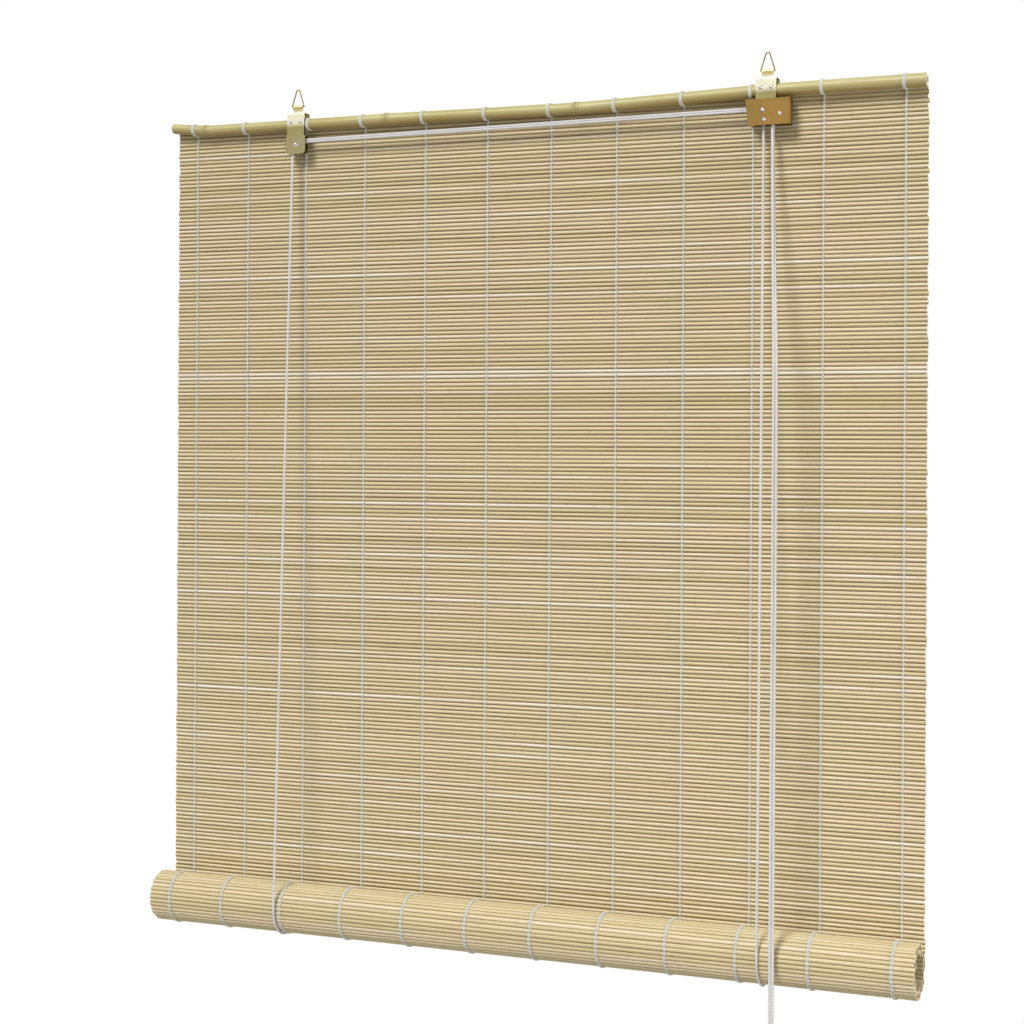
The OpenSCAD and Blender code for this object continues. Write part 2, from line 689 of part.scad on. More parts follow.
module lock_rivets() {
    front = seat_y(bracket_x) - sheet_t - cover_front;
    color(steel_colour) at_right()
        for (p = [[upper_rivet_shift, upper_rivet_drop], [lower_rivet_shift, lower_rivet_drop]]) {
            dome(bracket_x - p[0], front, -p[1], head_d, head_h);
            pin(bracket_x - p[0], front, -p[1], rivet_d, cover_front + sheet_t);
        }
}

// Toothed nose of the dog, growing upwards so that a rising cord draws it tight
module dog_outline() {
    step = dog_spread / dog_teeth;
    nose = [for (i = [0:2 * dog_teeth])
        let (a = 180 + dog_spread - i * step, r = dog_reach + dog_gain * (180 - a))
        (r - (i % 2 == 1 ? tooth_depth : 0)) * [cos(a), sin(a)]];
    difference() {
        polygon(concat(nose, arc([0, 0], dog_hub_r, 180 - dog_spread, dog_spread - 180, 24)));
        circle(d = rivet_d + 2 * pin_fit);
    }
}

module locking_dog() {
    y = lock_front_y - groove_w / 2;
    color(steel_colour) at_right() translate([dog_x, 0, -dog_drop])
        backwards(y, 2 * groove_w) dog_outline();
}

module dog_pin() {
    front = seat_y(bracket_x) - sheet_t - cover_front;
    color(steel_colour) at_right() {
        dome(dog_x, front, -dog_drop, head_d, head_h);
        pin(dog_x, front, -dog_drop, rivet_d, lock_rear_plate_y + sheet_t - front);
    }
}

// Lift cord from the sling's rear end up behind the mat, over its top and through the strap's lip
module lift_cord_back(x, b) {
    y = roll_y + sling_r;
    z = pole_z(b) + knot_z(b);
    turn = arc([y - cord_bend, z - cord_bend], cord_bend, 0, 90, arc_steps);
    cord(concat([[x, y, roll_z + run_gap]], [for (p = turn) [x, p[0], p[1]]],
        [[x, knot_y + knot_d / 2 + lay_gap, z]]), [1, 0, 0]);
    translate([x, knot_y, z]) sphere(d = knot_d);
}

module left_lift_cord_back() {
    color(cord_colour) hung_up() lift_cord_back(left_sling_x, -bracket_x);
}

module right_lift_cord_back() {
    color(cord_colour) hung_up() lift_cord_back(right_sling_x, bracket_x);
}

// Lift cord from its sheave down to the sling's front end
module lift_cord_front(sheave_x, y, z, sling_x) {
    cord([[sheave_x - cord_run_r, y, z - sheave_drop - run_gap],
        [sling_x, roll_y - sling_r, roll_z + run_gap]], [1, 0, 0]);
}

module left_lift_cord_front() {
    color(cord_colour) hung_up() lift_cord_front(-bracket_x, left_sheave_y, left_z, left_sling_x);
}

module right_lift_cord_front() {
    color(cord_colour) hung_up() lift_cord_front(lock_sheave_x, lock_rear_y, right_z, right_sling_x);
}

module left_cord_sling() {
    color(cord_colour) hung_up() ring(left_sling_x, roll_y, roll_z, sling_r, cord_d, 180, 180);
}

module right_cord_sling() {
    color(cord_colour) hung_up() ring(right_sling_x, roll_y, roll_z, sling_r, cord_d, 180, 180);
}

module crossing_cord() {
    rise = arc([-bracket_x, left_z - sheave_drop], cord_run_r, 180, 90, arc_steps);
    fall = arc([lock_sheave_x, right_z - sheave_drop], cord_run_r, 90, 0, arc_steps);
    color(cord_colour) hung_up() cord(concat([for (p = rise) [p[0], left_sheave_y, p[1]]],
        [for (p = fall) [p[0], lock_front_y, p[1]]]), [0, 1, 0]);
}

module lock_cord_turn() {
    turn = arc([lock_sheave_x, -sheave_drop], cord_run_r, 180, 0, 2 * arc_steps);
    color(cord_colour) at_right() cord([for (p = turn) [p[0], lock_rear_y, p[1]]], [0, 1, 0]);
}

module left_pull_cord() {
    color(cord_colour) hung_up() cord(pull_route(lock_front_y, -1), [1, 0, 0]);
}

module right_pull_cord() {
    color(cord_colour) hung_up() cord(pull_route(lock_rear_y, 1), [1, 0, 0]);
}

// Free end of a pull cord, from the roll's height into the tassel
module pull_tail(side) {
    x = pull_x + side * strand_gap;
    top = pull_split - run_gap;
    end = run_gap - tassel_drop - tassel_hole;
    cord([for (t = [0, 0.3, 0.6, 1]) [x, pull_y, top + t * (end - top)]], [1, 0, 0]);
}

module left_pull_tail() {
    color(cord_colour) hung_up() pull_tail(-1);
}

module right_pull_tail() {
    color(cord_colour) hung_up() pull_tail(1);
}

module cord_tassel() {
    r = tassel_d / 2;
    hole_r = strand_gap + cord_d / 2 + run_gap / 2;
    outline = concat([[0, -tassel_hole], [hole_r, -tassel_hole], [hole_r, 0], [r * 0.74, 0]],
        [for (t = [0:0.1:1]) [r * (0.74 + 0.26 * sin(180 * t)), -tassel_len * (0.1 + 0.62 * t)]],
        arc([r * 0.34, -tassel_len + r * 0.4], r * 0.4, 0, -90), [[0, -tassel_len]]);
    color(wood_colour) hung_up() translate([pull_x, pull_y, -tassel_drop]) rotate_extrude() polygon(outline);
}

bamboo_pole();
pole_ties();
reed_mat();
mat_strings();
mat_roll();
roll_strings();
bottom_rod();
left_bracket();
right_bracket();
bracket_screws();
left_hanger_loop();
right_hanger_loop();
left_pulley_cover();
left_sheave();
left_sheave_pin();
lock_cover();
lock_sheave();
lock_sheave_pin();
lock_rivets();
locking_dog();
dog_pin();
left_lift_cord_back();
right_lift_cord_back();
left_lift_cord_front();
right_lift_cord_front();
left_cord_sling();
right_cord_sling();
crossing_cord();
lock_cord_turn();
left_pull_cord();
right_pull_cord();
left_pull_tail();
right_pull_tail();
cord_tassel();
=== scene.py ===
import json
import logging
import math
from dataclasses import dataclass
from enum import Enum
from typing import Any, Callable, Iterable, Sequence

import bmesh
import bpy
from mathutils import Euler, Matrix, Vector

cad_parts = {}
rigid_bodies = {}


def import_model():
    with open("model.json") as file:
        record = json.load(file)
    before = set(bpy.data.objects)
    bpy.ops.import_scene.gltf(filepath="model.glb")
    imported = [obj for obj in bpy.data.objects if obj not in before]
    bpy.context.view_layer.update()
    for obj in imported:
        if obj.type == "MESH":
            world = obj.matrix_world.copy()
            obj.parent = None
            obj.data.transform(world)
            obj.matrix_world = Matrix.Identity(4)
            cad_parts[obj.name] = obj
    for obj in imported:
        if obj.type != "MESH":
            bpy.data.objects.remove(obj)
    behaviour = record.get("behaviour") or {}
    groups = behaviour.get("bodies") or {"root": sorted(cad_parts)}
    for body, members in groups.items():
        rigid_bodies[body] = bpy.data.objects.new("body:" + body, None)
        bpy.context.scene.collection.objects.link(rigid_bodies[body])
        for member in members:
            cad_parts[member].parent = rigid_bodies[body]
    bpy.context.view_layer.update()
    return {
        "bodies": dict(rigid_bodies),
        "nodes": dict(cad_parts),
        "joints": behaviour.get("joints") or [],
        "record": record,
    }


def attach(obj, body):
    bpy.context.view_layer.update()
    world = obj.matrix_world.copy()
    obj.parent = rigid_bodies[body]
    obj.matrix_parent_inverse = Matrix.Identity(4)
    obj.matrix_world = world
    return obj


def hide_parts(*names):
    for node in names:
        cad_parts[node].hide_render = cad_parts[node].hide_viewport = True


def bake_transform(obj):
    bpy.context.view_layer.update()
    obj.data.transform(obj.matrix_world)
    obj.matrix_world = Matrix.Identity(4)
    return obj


Point = tuple[float, float, float]
Colour = tuple[int, int, int]
Socket = bpy.types.NodeSocket
Material = bpy.types.Material
Pieces = list[bpy.types.Object]

log = logging.getLogger("blind")

NUMBER, VECTOR, GEOMETRY = "NodeSocketFloat", "NodeSocketVector", "NodeSocketGeometry"

# Sizes in millimetres: X along the pole, Y to the back, heights from midway between the brackets' heights.
HANG = 52.956  # seats of the loops
LEFT_Z, RIGHT_Z = -2.994, 2.994  # brackets
ROLL_AXIS = (-23.7, -1213.5)  # Y and height
CORD_D, CORD_SIDES = 3.8, 10
STRING_D, STRING_SIDES = 2.4, 6
REEDS, REED_PITCH, REED_TOP = 200, 6.05, -4.0
MAT_Y, MAT_TOP, MAT_BOTTOM = 14.1, REED_TOP + 3.0, ROLL_AXIS[1] + 0.5
SHEAVE_DROP, SHEAVE_EXIT = 32.0, 32.3  # from a bracket down to its sheave and to where the cord leaves it
LOCK_FRONT_Y, LOCK_REAR_Y = -6.43, -0.43  # grooves of the lock's sheave


class Body(str, Enum):
    """Bodies of the frame that the pieces ride on."""

    HEADRAIL = "headrail"
    SLINGS = "slings"
    ROLL = "roll"
    PULL_END = "pull_end"


class Slot(str, Enum):
    """Material slots of the record."""

    BAMBOO = "bamboo"
    REED = "reed"
    STRING = "string"
    BRASS = "brass"
    CORD = "cord"


class Lay(Enum):
    """Ways in which a cord's yarns are laid."""

    TWISTED = 0.0
    BRAIDED = 1.0


def placed(points: Iterable[Point]) -> list[Point]:
    """Moves points from millimetres at the brackets' middle height to metres at the loops' seats.

    Args:
        points: places in millimetres, with height 0 midway between the brackets' heights.

    Returns:
        The same places in the frame's metres.
    """
    return [(x / 1000, y / 1000, (z - HANG) / 1000) for x, y, z in points]


def linear(colour: Colour) -> tuple[float, float, float, float]:
    """Turns a written colour into the shader's linear values.

    Args:
        colour: red, green and blue from 0 to 255.

    Returns:
        Linear red, green, blue and an alpha of 1.
    """
    parts = [c / 255 for c in colour]
    r, g, b = [c / 12.92 if c <= 0.04045 else ((c + 0.055) / 1.055) ** 2.4 for c in parts]
    return (r, g, b, 1.0)


def smooth_route(stations: Sequence[Point], steps: int) -> list[Point]:
    """Draws a smooth curve through the stations of a route.

    Args:
        stations: places that the route passes.
        steps: number of points for each stretch between two stations.

    Returns:
        Points along the curve, the first and last station included.
    """
    ends = [stations[0], *stations, stations[-1]]
    line: list[Point] = []
    for i in range(1, len(ends) - 2):
        a, b, c, d = (Vector(p) for p in ends[i - 1:i + 3])
        for s in range(steps):
            t = s / steps
            p = 0.5 * (2 * b + (c - a) * t + (2 * a - 5 * b + 4 * c - d) * t ** 2
                       + (3 * b - a - 3 * c + d) * t ** 3)
            line.append(tuple(p))
    line.append(tuple(stations[-1]))
    return line


class Graph:
    """Adds nodes to a tree, sets their constants and joins their sockets."""

    def __init__(self, tree: bpy.types.NodeTree) -> None:
        """Keeps the tree and starts it empty."""
        self.tree = tree
        tree.nodes.clear()

    def add(self, kind: str, inputs: dict[Any, Any] | None = None, **settings: Any) -> bpy.types.Node:
        """Adds a node.

        Args:
            kind: the node's type.
            inputs: constants or output sockets, by the input's name or number.
            settings: the node's own properties.

        Returns:
            The new node.
        """
        node = self.tree.nodes.new(kind)
        for name, value in settings.items():
            setattr(node, name, value)
        self.fill(node, inputs or {})
        return node

    def out(self, kind: str, inputs: dict[Any, Any] | None = None, **settings: Any) -> Socket:
        """Adds a node as add does and returns its first output."""
        return self.add(kind, inputs, **settings).outputs[0]

    def fill(self, node: bpy.types.Node, inputs: dict[Any, Any]) -> None:
        """Sets or joins a node's inputs.

        Args:
            node: the node.
            inputs: constants or output sockets, by the input's name or number.
        """
        for key, value in inputs.items():
            if isinstance(value, Socket):
                self.tree.links.new(value, node.inputs[key])
            else:
                node.inputs[key].default_value = value

    def attribute(self, name: str, output: str = "Fac") -> Socket:
        """Reads a mesh attribute in a shader and returns its socket."""
        return self.add("ShaderNodeAttribute", attribute_name=name).outputs[output]

    def place(self) -> Socket:
        """Reads the place in the object's own axes in a shader and returns its socket."""
        return self.add("ShaderNodeTexCoord").outputs["Object"]

    def group(self, tree: bpy.types.NodeTree, inputs: dict[str, Any]) -> bpy.types.NodeOutputs:
        """Adds a shader group and returns its outputs."""
        return self.add("ShaderNodeGroup", inputs, node_tree=tree).outputs

    def bump(self, strength: float, distance: float, height: Socket) -> Socket:
        """Adds a bump and returns its normal."""
        return self.out("ShaderNodeBump", {"Strength": strength, "Distance": distance, "Height": height})

    def named(self, name: str) -> Socket:
        """Reads a named attribute in a Geometry Nodes tree and returns its socket."""
        return self.out("GeometryNodeInputNamedAttribute", {"Name": name}, data_type="FLOAT")

    def position(self) -> Socket:
        """Reads the points' positions in a Geometry Nodes tree and returns the socket."""
        return self.out("GeometryNodeInputPosition")

    def store(self, shape: Socket, name: str, value: Socket, kind: str = "FLOAT",
              domain: str = "POINT") -> Socket:
        """Stores a named attribute in a Geometry Nodes tree.

        Args:
            shape: socket of the mesh, curve or instances.
            name: the attribute's name.
            value: socket of its value.
            kind: its data type.
            domain: what it is stored on.

        Returns:
            The socket of the shape with the attribute.
        """
        return self.out("GeometryNodeStoreNamedAttribute", {"Geometry": shape, "Name": name, "Value": value},
                        data_type=kind, domain=domain)

    def math(self, operation: str, *values: Any) -> Socket:
        """Adds a Math node.

        Args:
            operation: the node's operation.
            values: constants or sockets, in order.

        Returns:
            The result's socket.
        """
        return self.out("ShaderNodeMath", dict(enumerate(values)), operation=operation)

    def vector(self, operation: str, inputs: dict[Any, Any]) -> Socket:
        """Adds a Vector Math node and returns its first output."""
        return self.out("ShaderNodeVectorMath", inputs, operation=operation)

    def join(self, x: Any, y: Any, z: Any) -> Socket:
        """Joins three values to a vector and returns its socket."""
        return self.out("ShaderNodeCombineXYZ", {0: x, 1: y, 2: z})

    def split(self, vector: Socket) -> bpy.types.NodeOutputs:
        """Splits a vector and returns its three sockets."""
        return self.add("ShaderNodeSeparateXYZ", {0: vector}).outputs

    def mix(self, factor: Any, a: Any, b: Any) -> Socket:
        """Mixes two colours.

        Args:
            factor: share of the second colour.
            a: first colour or socket.
            b: second colour or socket.

        Returns:
            The mixed colour's socket.
        """
        return self.add("ShaderNodeMix", {0: factor, 6: a, 7: b}, data_type="RGBA").outputs[2]

    def ramp(self, value: Any, low: float, high: float, start: float = 0.0,
             end: float = 1.0) -> Socket:
        """Maps a value from one range to another and keeps it there.

        Args:
            value: the socket to map.
            low: value that gives start.
            high: value that gives end.
            start: first result.
            end: last result.

        Returns:
            The mapped value's socket.
        """
        return self.out("ShaderNodeMapRange", {0: value, 1: low, 2: high, 3: start, 4: end})

    def shades(self, value: Any, stops: Sequence[tuple[float, Colour]]) -> Socket:
        """Adds a colour ramp.

        Args:
            value: place along the ramp.
            stops: places and colours, in order.

        Returns:
            The colour's socket.
        """
        node = self.add("ShaderNodeValToRGB", {0: value})
        elements = node.color_ramp.elements
        while len(elements) < len(stops):
            elements.new(0.5)
        for element, (place, colour) in zip(elements, stops):
            element.position = place
            element.color = linear(colour)
        return node.outputs[0]

    def noise(self, vector: Any, scale: float, detail: float = 2.0, rough: float = 0.5) -> Socket:
        """Adds a noise texture and returns its value."""
        return self.out("ShaderNodeTexNoise", {
            "Vector": vector, "Scale": scale, "Detail": detail, "Roughness": rough})


def new_group(name: str, kind: str, inputs: Sequence[tuple[str, str, Any]],
              outputs: Sequence[tuple[str, str]]) -> tuple[Graph, bpy.types.NodeOutputs, bpy.types.Node]:
    """Starts a node group with named sockets.

    Args:
        name: the group's name.
        kind: type of the node tree.
        inputs: name, socket type and value of each input.
        outputs: name and socket type of each output.

    Returns:
        The group's graph, the sockets that come in and the node that takes those that go out.
    """
    tree = bpy.data.node_groups.new(name, kind)
    for label, socket, value in inputs:
        item = tree.interface.new_socket(label, in_out="INPUT", socket_type=socket)
        if value is not None:
            item.default_value = value
    for label, socket in outputs:
        tree.interface.new_socket(label, in_out="OUTPUT", socket_type=socket)
    graph = Graph(tree)
    return graph, graph.add("NodeGroupInput").outputs, graph.add("NodeGroupOutput")


class Effects:
    """Shader groups that several finishes share."""

    def __init__(self) -> None:
        """Builds each group once."""
        self.fibre = self._fibre()
        self.yarn = self._yarn()
        self.handling = self._handling()

    @staticmethod
    def _fibre() -> bpy.types.NodeTree:
        """Builds the long streaks of cane and wood.

        Returns:
            The group, with a streak and a slow patch of colour.
        """
        graph, given, put = new_group(
            "fibre_streaks", "ShaderNodeTree",
            [("Vector", VECTOR, None), ("Along", NUMBER, 14.0), ("Across", NUMBER, 900.0),
             ("Shift", NUMBER, 0.0)],
            [("Streak", NUMBER), ("Patch", NUMBER)])
        x, y, z = graph.split(given["Vector"])
        moved = graph.math("ADD", x, given["Shift"])

        def stretched(along: Any, across: Any) -> Socket:
            """Returns the place times a factor along the fibres and one across them."""
            return graph.join(*(graph.math("MULTIPLY", part, factor)
                                for part, factor in ((moved, along), (y, across), (z, across))))

        streak = graph.noise(stretched(given["Along"], given["Across"]), 1.0, 3.0, 0.6)
        patch = graph.noise(stretched(5.0, 30.0), 1.0)
        graph.fill(put, {"Streak": graph.ramp(streak, 0.3, 0.7), "Patch": graph.ramp(patch, 0.3, 0.7)})
        return graph.tree

    @staticmethod
    def _yarn() -> bpy.types.NodeTree:
        """Builds the yarns of a twisted string or a braided cord.

        Returns:
            The group, with the yarns' height and the share of painted shade in the grooves between them.
        """
        graph, given, put = new_group(
            "laid_yarns", "ShaderNodeTree",
            [("Along", NUMBER, 0.0), ("Swirl", VECTOR, None), ("Yarns", NUMBER, 3.0), ("Turn", NUMBER, 0.006),
             ("Braid", NUMBER, 0.0)],
            [("Height", NUMBER), ("Groove", NUMBER)])
        round_parts = graph.split(given["Swirl"])
        angle = graph.math("MULTIPLY", graph.math("ARCTAN2", round_parts[1], round_parts[0]), given["Yarns"])
        run = graph.math("MULTIPLY", graph.math("DIVIDE", given["Along"], given["Turn"]), 2 * math.pi)
        right = graph.math("SINE", graph.math("ADD", angle, run))
        left = graph.math("SINE", graph.math("SUBTRACT", angle, run))
        crossed = graph.math("MULTIPLY", right, left)
        chosen = graph.math("ADD", graph.math("MULTIPLY", crossed, given["Braid"]),
                            graph.math("MULTIPLY", right, graph.math("SUBTRACT", 1.0, given["Braid"])))
        height = graph.ramp(chosen, -1.0, 1.0)
        # Groove: painted shade where the surface lies low between the yarns.
        graph.fill(put, {"Height": height, "Groove": graph.ramp(height, 0.35, 0.0)})
        return graph.tree

    @staticmethod
    def _handling() -> bpy.types.NodeTree:
        """Builds the smudges, fine scratches and dull spots of handled metal and lacquer.

        Returns:
            The group, with a smudge, a scratch and a speckle mask.
        """
        graph, given, put = new_group(
            "handling_marks", "ShaderNodeTree", [("Vector", VECTOR, None), ("Size", NUMBER, 60.0)],
            [("Smudge", NUMBER), ("Scratch", NUMBER), ("Speckle", NUMBER)])
        scaled = graph.vector("SCALE", {0: given["Vector"], "Scale": given["Size"]})
        stretched = graph.vector("MULTIPLY", {0: scaled, 1: (3.0, 3.0, 40.0)})
        graph.fill(put, {"Smudge": graph.ramp(graph.noise(scaled, 1.0, 4.0, 0.6), 0.35, 0.7),
                         "Scratch": graph.ramp(graph.noise(stretched, 1.0), 0.62, 0.74),
                         "Speckle": graph.ramp(graph.noise(scaled, 9.0), 0.64, 0.72)})
        return graph.tree


def start_material(name: str) -> tuple[Material, Graph, bpy.types.Node]:
    """Starts a material with a Principled shader.

    Args:
        name: the material's name.

    Returns:
        The material, its graph and its shader.
    """
    material = bpy.data.materials.new(name)
    material.use_nodes = True
    graph = Graph(material.node_tree)
    shader = graph.add("ShaderNodeBsdfPrincipled")
    graph.add("ShaderNodeOutputMaterial", {0: shader.outputs[0]})
    return material, graph, shader


@dataclass(frozen=True)
class ReedFinish:
    """Split reeds, each of its own tone, with painted shade where it meets its neighbours and along its lower
    side.
    """

    effects: Effects
    name: str = "split_reed"
    tones: tuple[tuple[float, Colour], ...] = (
        (0.0, (210, 193, 149)), (0.25, (219, 203, 160)), (0.5, (226, 210, 171)), (0.72, (228, 206, 169)),
        (0.93, (233, 219, 186)), (1.0, (241, 232, 211)))
    streak_colour: Colour = (186, 162, 110)
    # The groove colour is painted shade: it darkens each reed where it meets its neighbours and along its lower
    # side.
    groove_shade_colour: Colour = (120, 99, 59)
    mark_colour: Colour = (160, 132, 84)
    end_colour: Colour = (232, 214, 172)
    groove: tuple[float, float] = (0.66, 0.98)
    groove_shade_share: float = 0.9
    under: tuple[float, float] = (0.42, 0.84)
    underside_shade_shares: tuple[float, float] = (0.5, 0.84)
    patch_spread: float = 0.12
    streak_share: float = 0.22
    mark_pitch: float = 0.31
    mark_share: float = 0.12
    roughness: float = 0.5
    specular: float = 0.35

    def material(self) -> Material:
        """Builds the material and returns it."""
        material, graph, shader = start_material(self.name)
        place = graph.place()
        tone, edge, under, cut = [graph.attribute(name) for name in ("tone", "edge", "under", "cut")]
        grain = graph.group(self.effects.fibre, {"Vector": place, "Shift": graph.math("MULTIPLY", tone, 9.0)})
        streak, patch = grain["Streak"], grain["Patch"]
        shaded = graph.math("ADD", tone, graph.ramp(patch, 0.0, 1.0, -self.patch_spread, self.patch_spread))
        base = graph.shades(shaded, self.tones)
        streaked = graph.mix(graph.math("MULTIPLY", streak, self.streak_share), base, linear(self.streak_colour))
        run = graph.math("DIVIDE", graph.split(place)[0], self.mark_pitch)
        phase = graph.math("FRACT", graph.math("ADD", run, graph.math("MULTIPLY", tone, 17.3)))
        mark = graph.ramp(graph.math("ABSOLUTE", graph.math("SUBTRACT", phase, 0.5)), 0.012, 0.003, 0.0,
                          self.mark_share)
        marked = graph.mix(mark, streaked, linear(self.mark_colour))
        # Painted shade along each reed's lower side, its strength varied by the slow patch.
        shadow = graph.math("MULTIPLY", graph.ramp(under, *self.under),
                            graph.ramp(patch, 0.0, 1.0, *self.underside_shade_shares))
        # Painted shade where each reed meets its neighbours, or the lower side's painted shade where that is
        # darker.
        groove = graph.math("MAXIMUM", graph.ramp(edge, *self.groove, 0.0, self.groove_shade_share), shadow)
        grooved = graph.mix(groove, marked, linear(self.groove_shade_colour))
        graph.fill(shader, {
            "Base Color": graph.mix(cut, grooved, linear(self.end_colour)),
            "Roughness": graph.ramp(streak, 0.0, 1.0, self.roughness - 0.08, self.roughness + 0.14),
            "Normal": graph.bump(0.35, 0.0004, streak), "Specular IOR Level": self.specular})
        return material


@dataclass(frozen=True)
class CulmFinish:
    """Glossy skin of a bamboo culm, brown at its growth rings, with painted shade and a painted brown reflection
    along its underside.
    """

    effects: Effects
    name: str = "bamboo_culm"
    pale: Colour = (204, 196, 140)
    green: Colour = (182, 172, 102)
    streak_colour: Colour = (150, 130, 66)
    ring_colour: Colour = (132, 104, 54)
    # The under colour is painted shade and a painted brown reflection for the culm's underside.
    underside_shade_colour: Colour = (144, 110, 50)
    cut_colour: Colour = (214, 194, 146)
    streak_share: float = 0.34
    under: tuple[float, float] = (0.35, 0.95)
    underside_shade_share: float = 0.7
    roughness: tuple[float, float] = (0.42, 0.56)
    coat: tuple[float, float] = (0.12, 0.35)

    def material(self) -> Material:
        """Builds the material and returns it."""
        material, graph, shader = start_material(self.name)
        place = graph.place()
        mark, cut, under = [graph.attribute(name) for name in ("mark", "cut", "under")]
        grain = graph.group(self.effects.fibre, {"Vector": place, "Along": 7.0, "Across": 420.0})
        base = graph.mix(grain["Patch"], linear(self.pale), linear(self.green))
        streaked = graph.mix(graph.math("MULTIPLY", grain["Streak"], self.streak_share), base,
                             linear(self.streak_colour))
        # Painted shade and painted brown reflection along the culm's underside.
        underside_shaded = graph.mix(graph.ramp(under, *self.under, 0.0, self.underside_shade_share), streaked,
                            linear(self.underside_shade_colour))
        ringed = graph.mix(mark, underside_shaded, linear(self.ring_colour))
        wear = graph.group(self.effects.handling, {"Vector": place, "Size": 40.0})
        graph.fill(shader, {
            "Base Color": graph.mix(cut, ringed, linear(self.cut_colour)),
            "Roughness": graph.ramp(wear["Smudge"], 0.0, 1.0, *self.roughness),
            "Normal": graph.bump(0.2, 0.0004, grain["Streak"]),
            "Coat Weight": self.coat[0], "Coat Roughness": self.coat[1]})
        return material


@dataclass(frozen=True)
class YarnFinish:
    """White string or cord of laid yarns, with painted shade in the grooves between its yarns."""

    effects: Effects
    name: str
    lay: Lay
    yarns: float
    turn: float
    thread: Colour
    # The groove colour serves both as the soil's colour and as painted shade in the grooves between the yarns.
    groove: Colour
    depth: float = 0.0004
    soil_share: float = 0.25
    groove_shade_share: float = 0.75
    roughness: tuple[float, float] = (0.72, 0.92)
    sheen: float = 0.15

    def material(self) -> Material:
        """Builds the material and returns it."""
        material, graph, shader = start_material(self.name)
        place = graph.place()
        laid = graph.group(self.effects.yarn, {
            "Along": graph.attribute("along"), "Swirl": graph.attribute("swirl", "Vector"), "Yarns": self.yarns,
            "Turn": self.turn, "Braid": self.lay.value})
        fuzz = graph.noise(place, 2600.0)
        soil = graph.ramp(graph.noise(place, 35.0, 3.0), 0.45, 0.8, 0.0, self.soil_share)
        soiled = graph.mix(soil, linear(self.thread), linear(self.groove))
        height = graph.math("ADD", laid["Height"], graph.math("MULTIPLY", fuzz, 0.2))
        # The base colour gets painted shade in the grooves between the yarns.
        graph.fill(shader, {
            "Base Color": graph.mix(graph.math("MULTIPLY", laid["Groove"], self.groove_shade_share), soiled,
                                    linear(self.groove)),
            "Roughness": graph.ramp(fuzz, 0.3, 0.7, *self.roughness),
            "Normal": graph.bump(0.6, self.depth, height), "Sheen Weight": self.sheen})
        return material


@dataclass(frozen=True)
class MetalFinish:
    """Plated sheet or wire with smudges and fine scratches, whose darkening also serves as painted shade in its
    reflections, and with painted shade by height where low and high colours are given.
    """

    effects: Effects
    name: str
    plate: Colour
    shadow: Colour
    roughness: float
    metallic: float = 1.0
    size: float = 60.0
    # Low and high colours are painted shade on a strap's front, darker towards its bottom and its top, by height
    # tilted along X.
    low: Colour | None = None
    low_shade_heights: tuple[float, float] = (-0.0505, -0.0575)
    high: Colour | None = None
    high_shade_heights: tuple[float, float] = (-0.0335, -0.0295)
    tilt: float = 0.009
    smudge_and_shade_share: float = 0.5
    speckle_share: float = 0.3
    scratch_share: float = 0.12

    def material(self) -> Material:
        """Builds the material and returns it."""
        material, graph, shader = start_material(self.name)
        place = graph.place()
        wear = graph.group(self.effects.handling, {"Vector": place, "Size": self.size})
        toned: Any = linear(self.plate)
        # Smudges and dull spots darken the plate towards its shadow colour: handling marks, and painted shade
        # for the dark parts of the reflected surroundings.
        for mask, share in (("Smudge", self.smudge_and_shade_share), ("Speckle", self.speckle_share)):
            toned = graph.mix(graph.math("MULTIPLY", wear[mask], share), toned, linear(self.shadow))
        x, _, z = graph.split(place)
        height = graph.math("SUBTRACT", z, graph.math("MULTIPLY", x, self.tilt))
        # Painted shade by height, where low and high colours are given.
        for colour, heights in ((self.low, self.low_shade_heights), (self.high, self.high_shade_heights)):
            if colour:
                toned = graph.mix(graph.ramp(height, *heights), toned, linear(colour))
        dull = graph.ramp(wear["Smudge"], 0.0, 1.0, self.roughness - 0.06, self.roughness + 0.1)
        graph.fill(shader, {
            "Base Color": toned, "Metallic": self.metallic,
            "Roughness": graph.math("ADD", dull, graph.math("MULTIPLY", wear["Scratch"], self.scratch_share)),
            "Normal": graph.bump(0.08, 0.0002, wear["Scratch"])})
        return material


@dataclass(frozen=True)
class TurnedWoodFinish:
    """Lacquered turned wood with its grain along the axis."""

    effects: Effects
    name: str = "turned_wood"
    pale: Colour = (214, 178, 118)
    dark: Colour = (164, 118, 66)
    roughness: tuple[float, float] = (0.3, 0.42)
    coat: tuple[float, float] = (0.4, 0.2)

    def material(self) -> Material:
        """Builds the material and returns it."""
        material, graph, shader = start_material(self.name)
        x, y, z = graph.split(graph.place())
        grain = graph.group(self.effects.fibre, {"Vector": graph.join(z, x, y), "Along": 40.0, "Across": 800.0})
        graph.fill(shader, {
            "Base Color": graph.mix(grain["Streak"], linear(self.pale), linear(self.dark)),
            "Roughness": graph.ramp(grain["Streak"], 0.0, 1.0, *self.roughness),
            "Coat Weight": self.coat[0], "Coat Roughness": self.coat[1]})
        return material


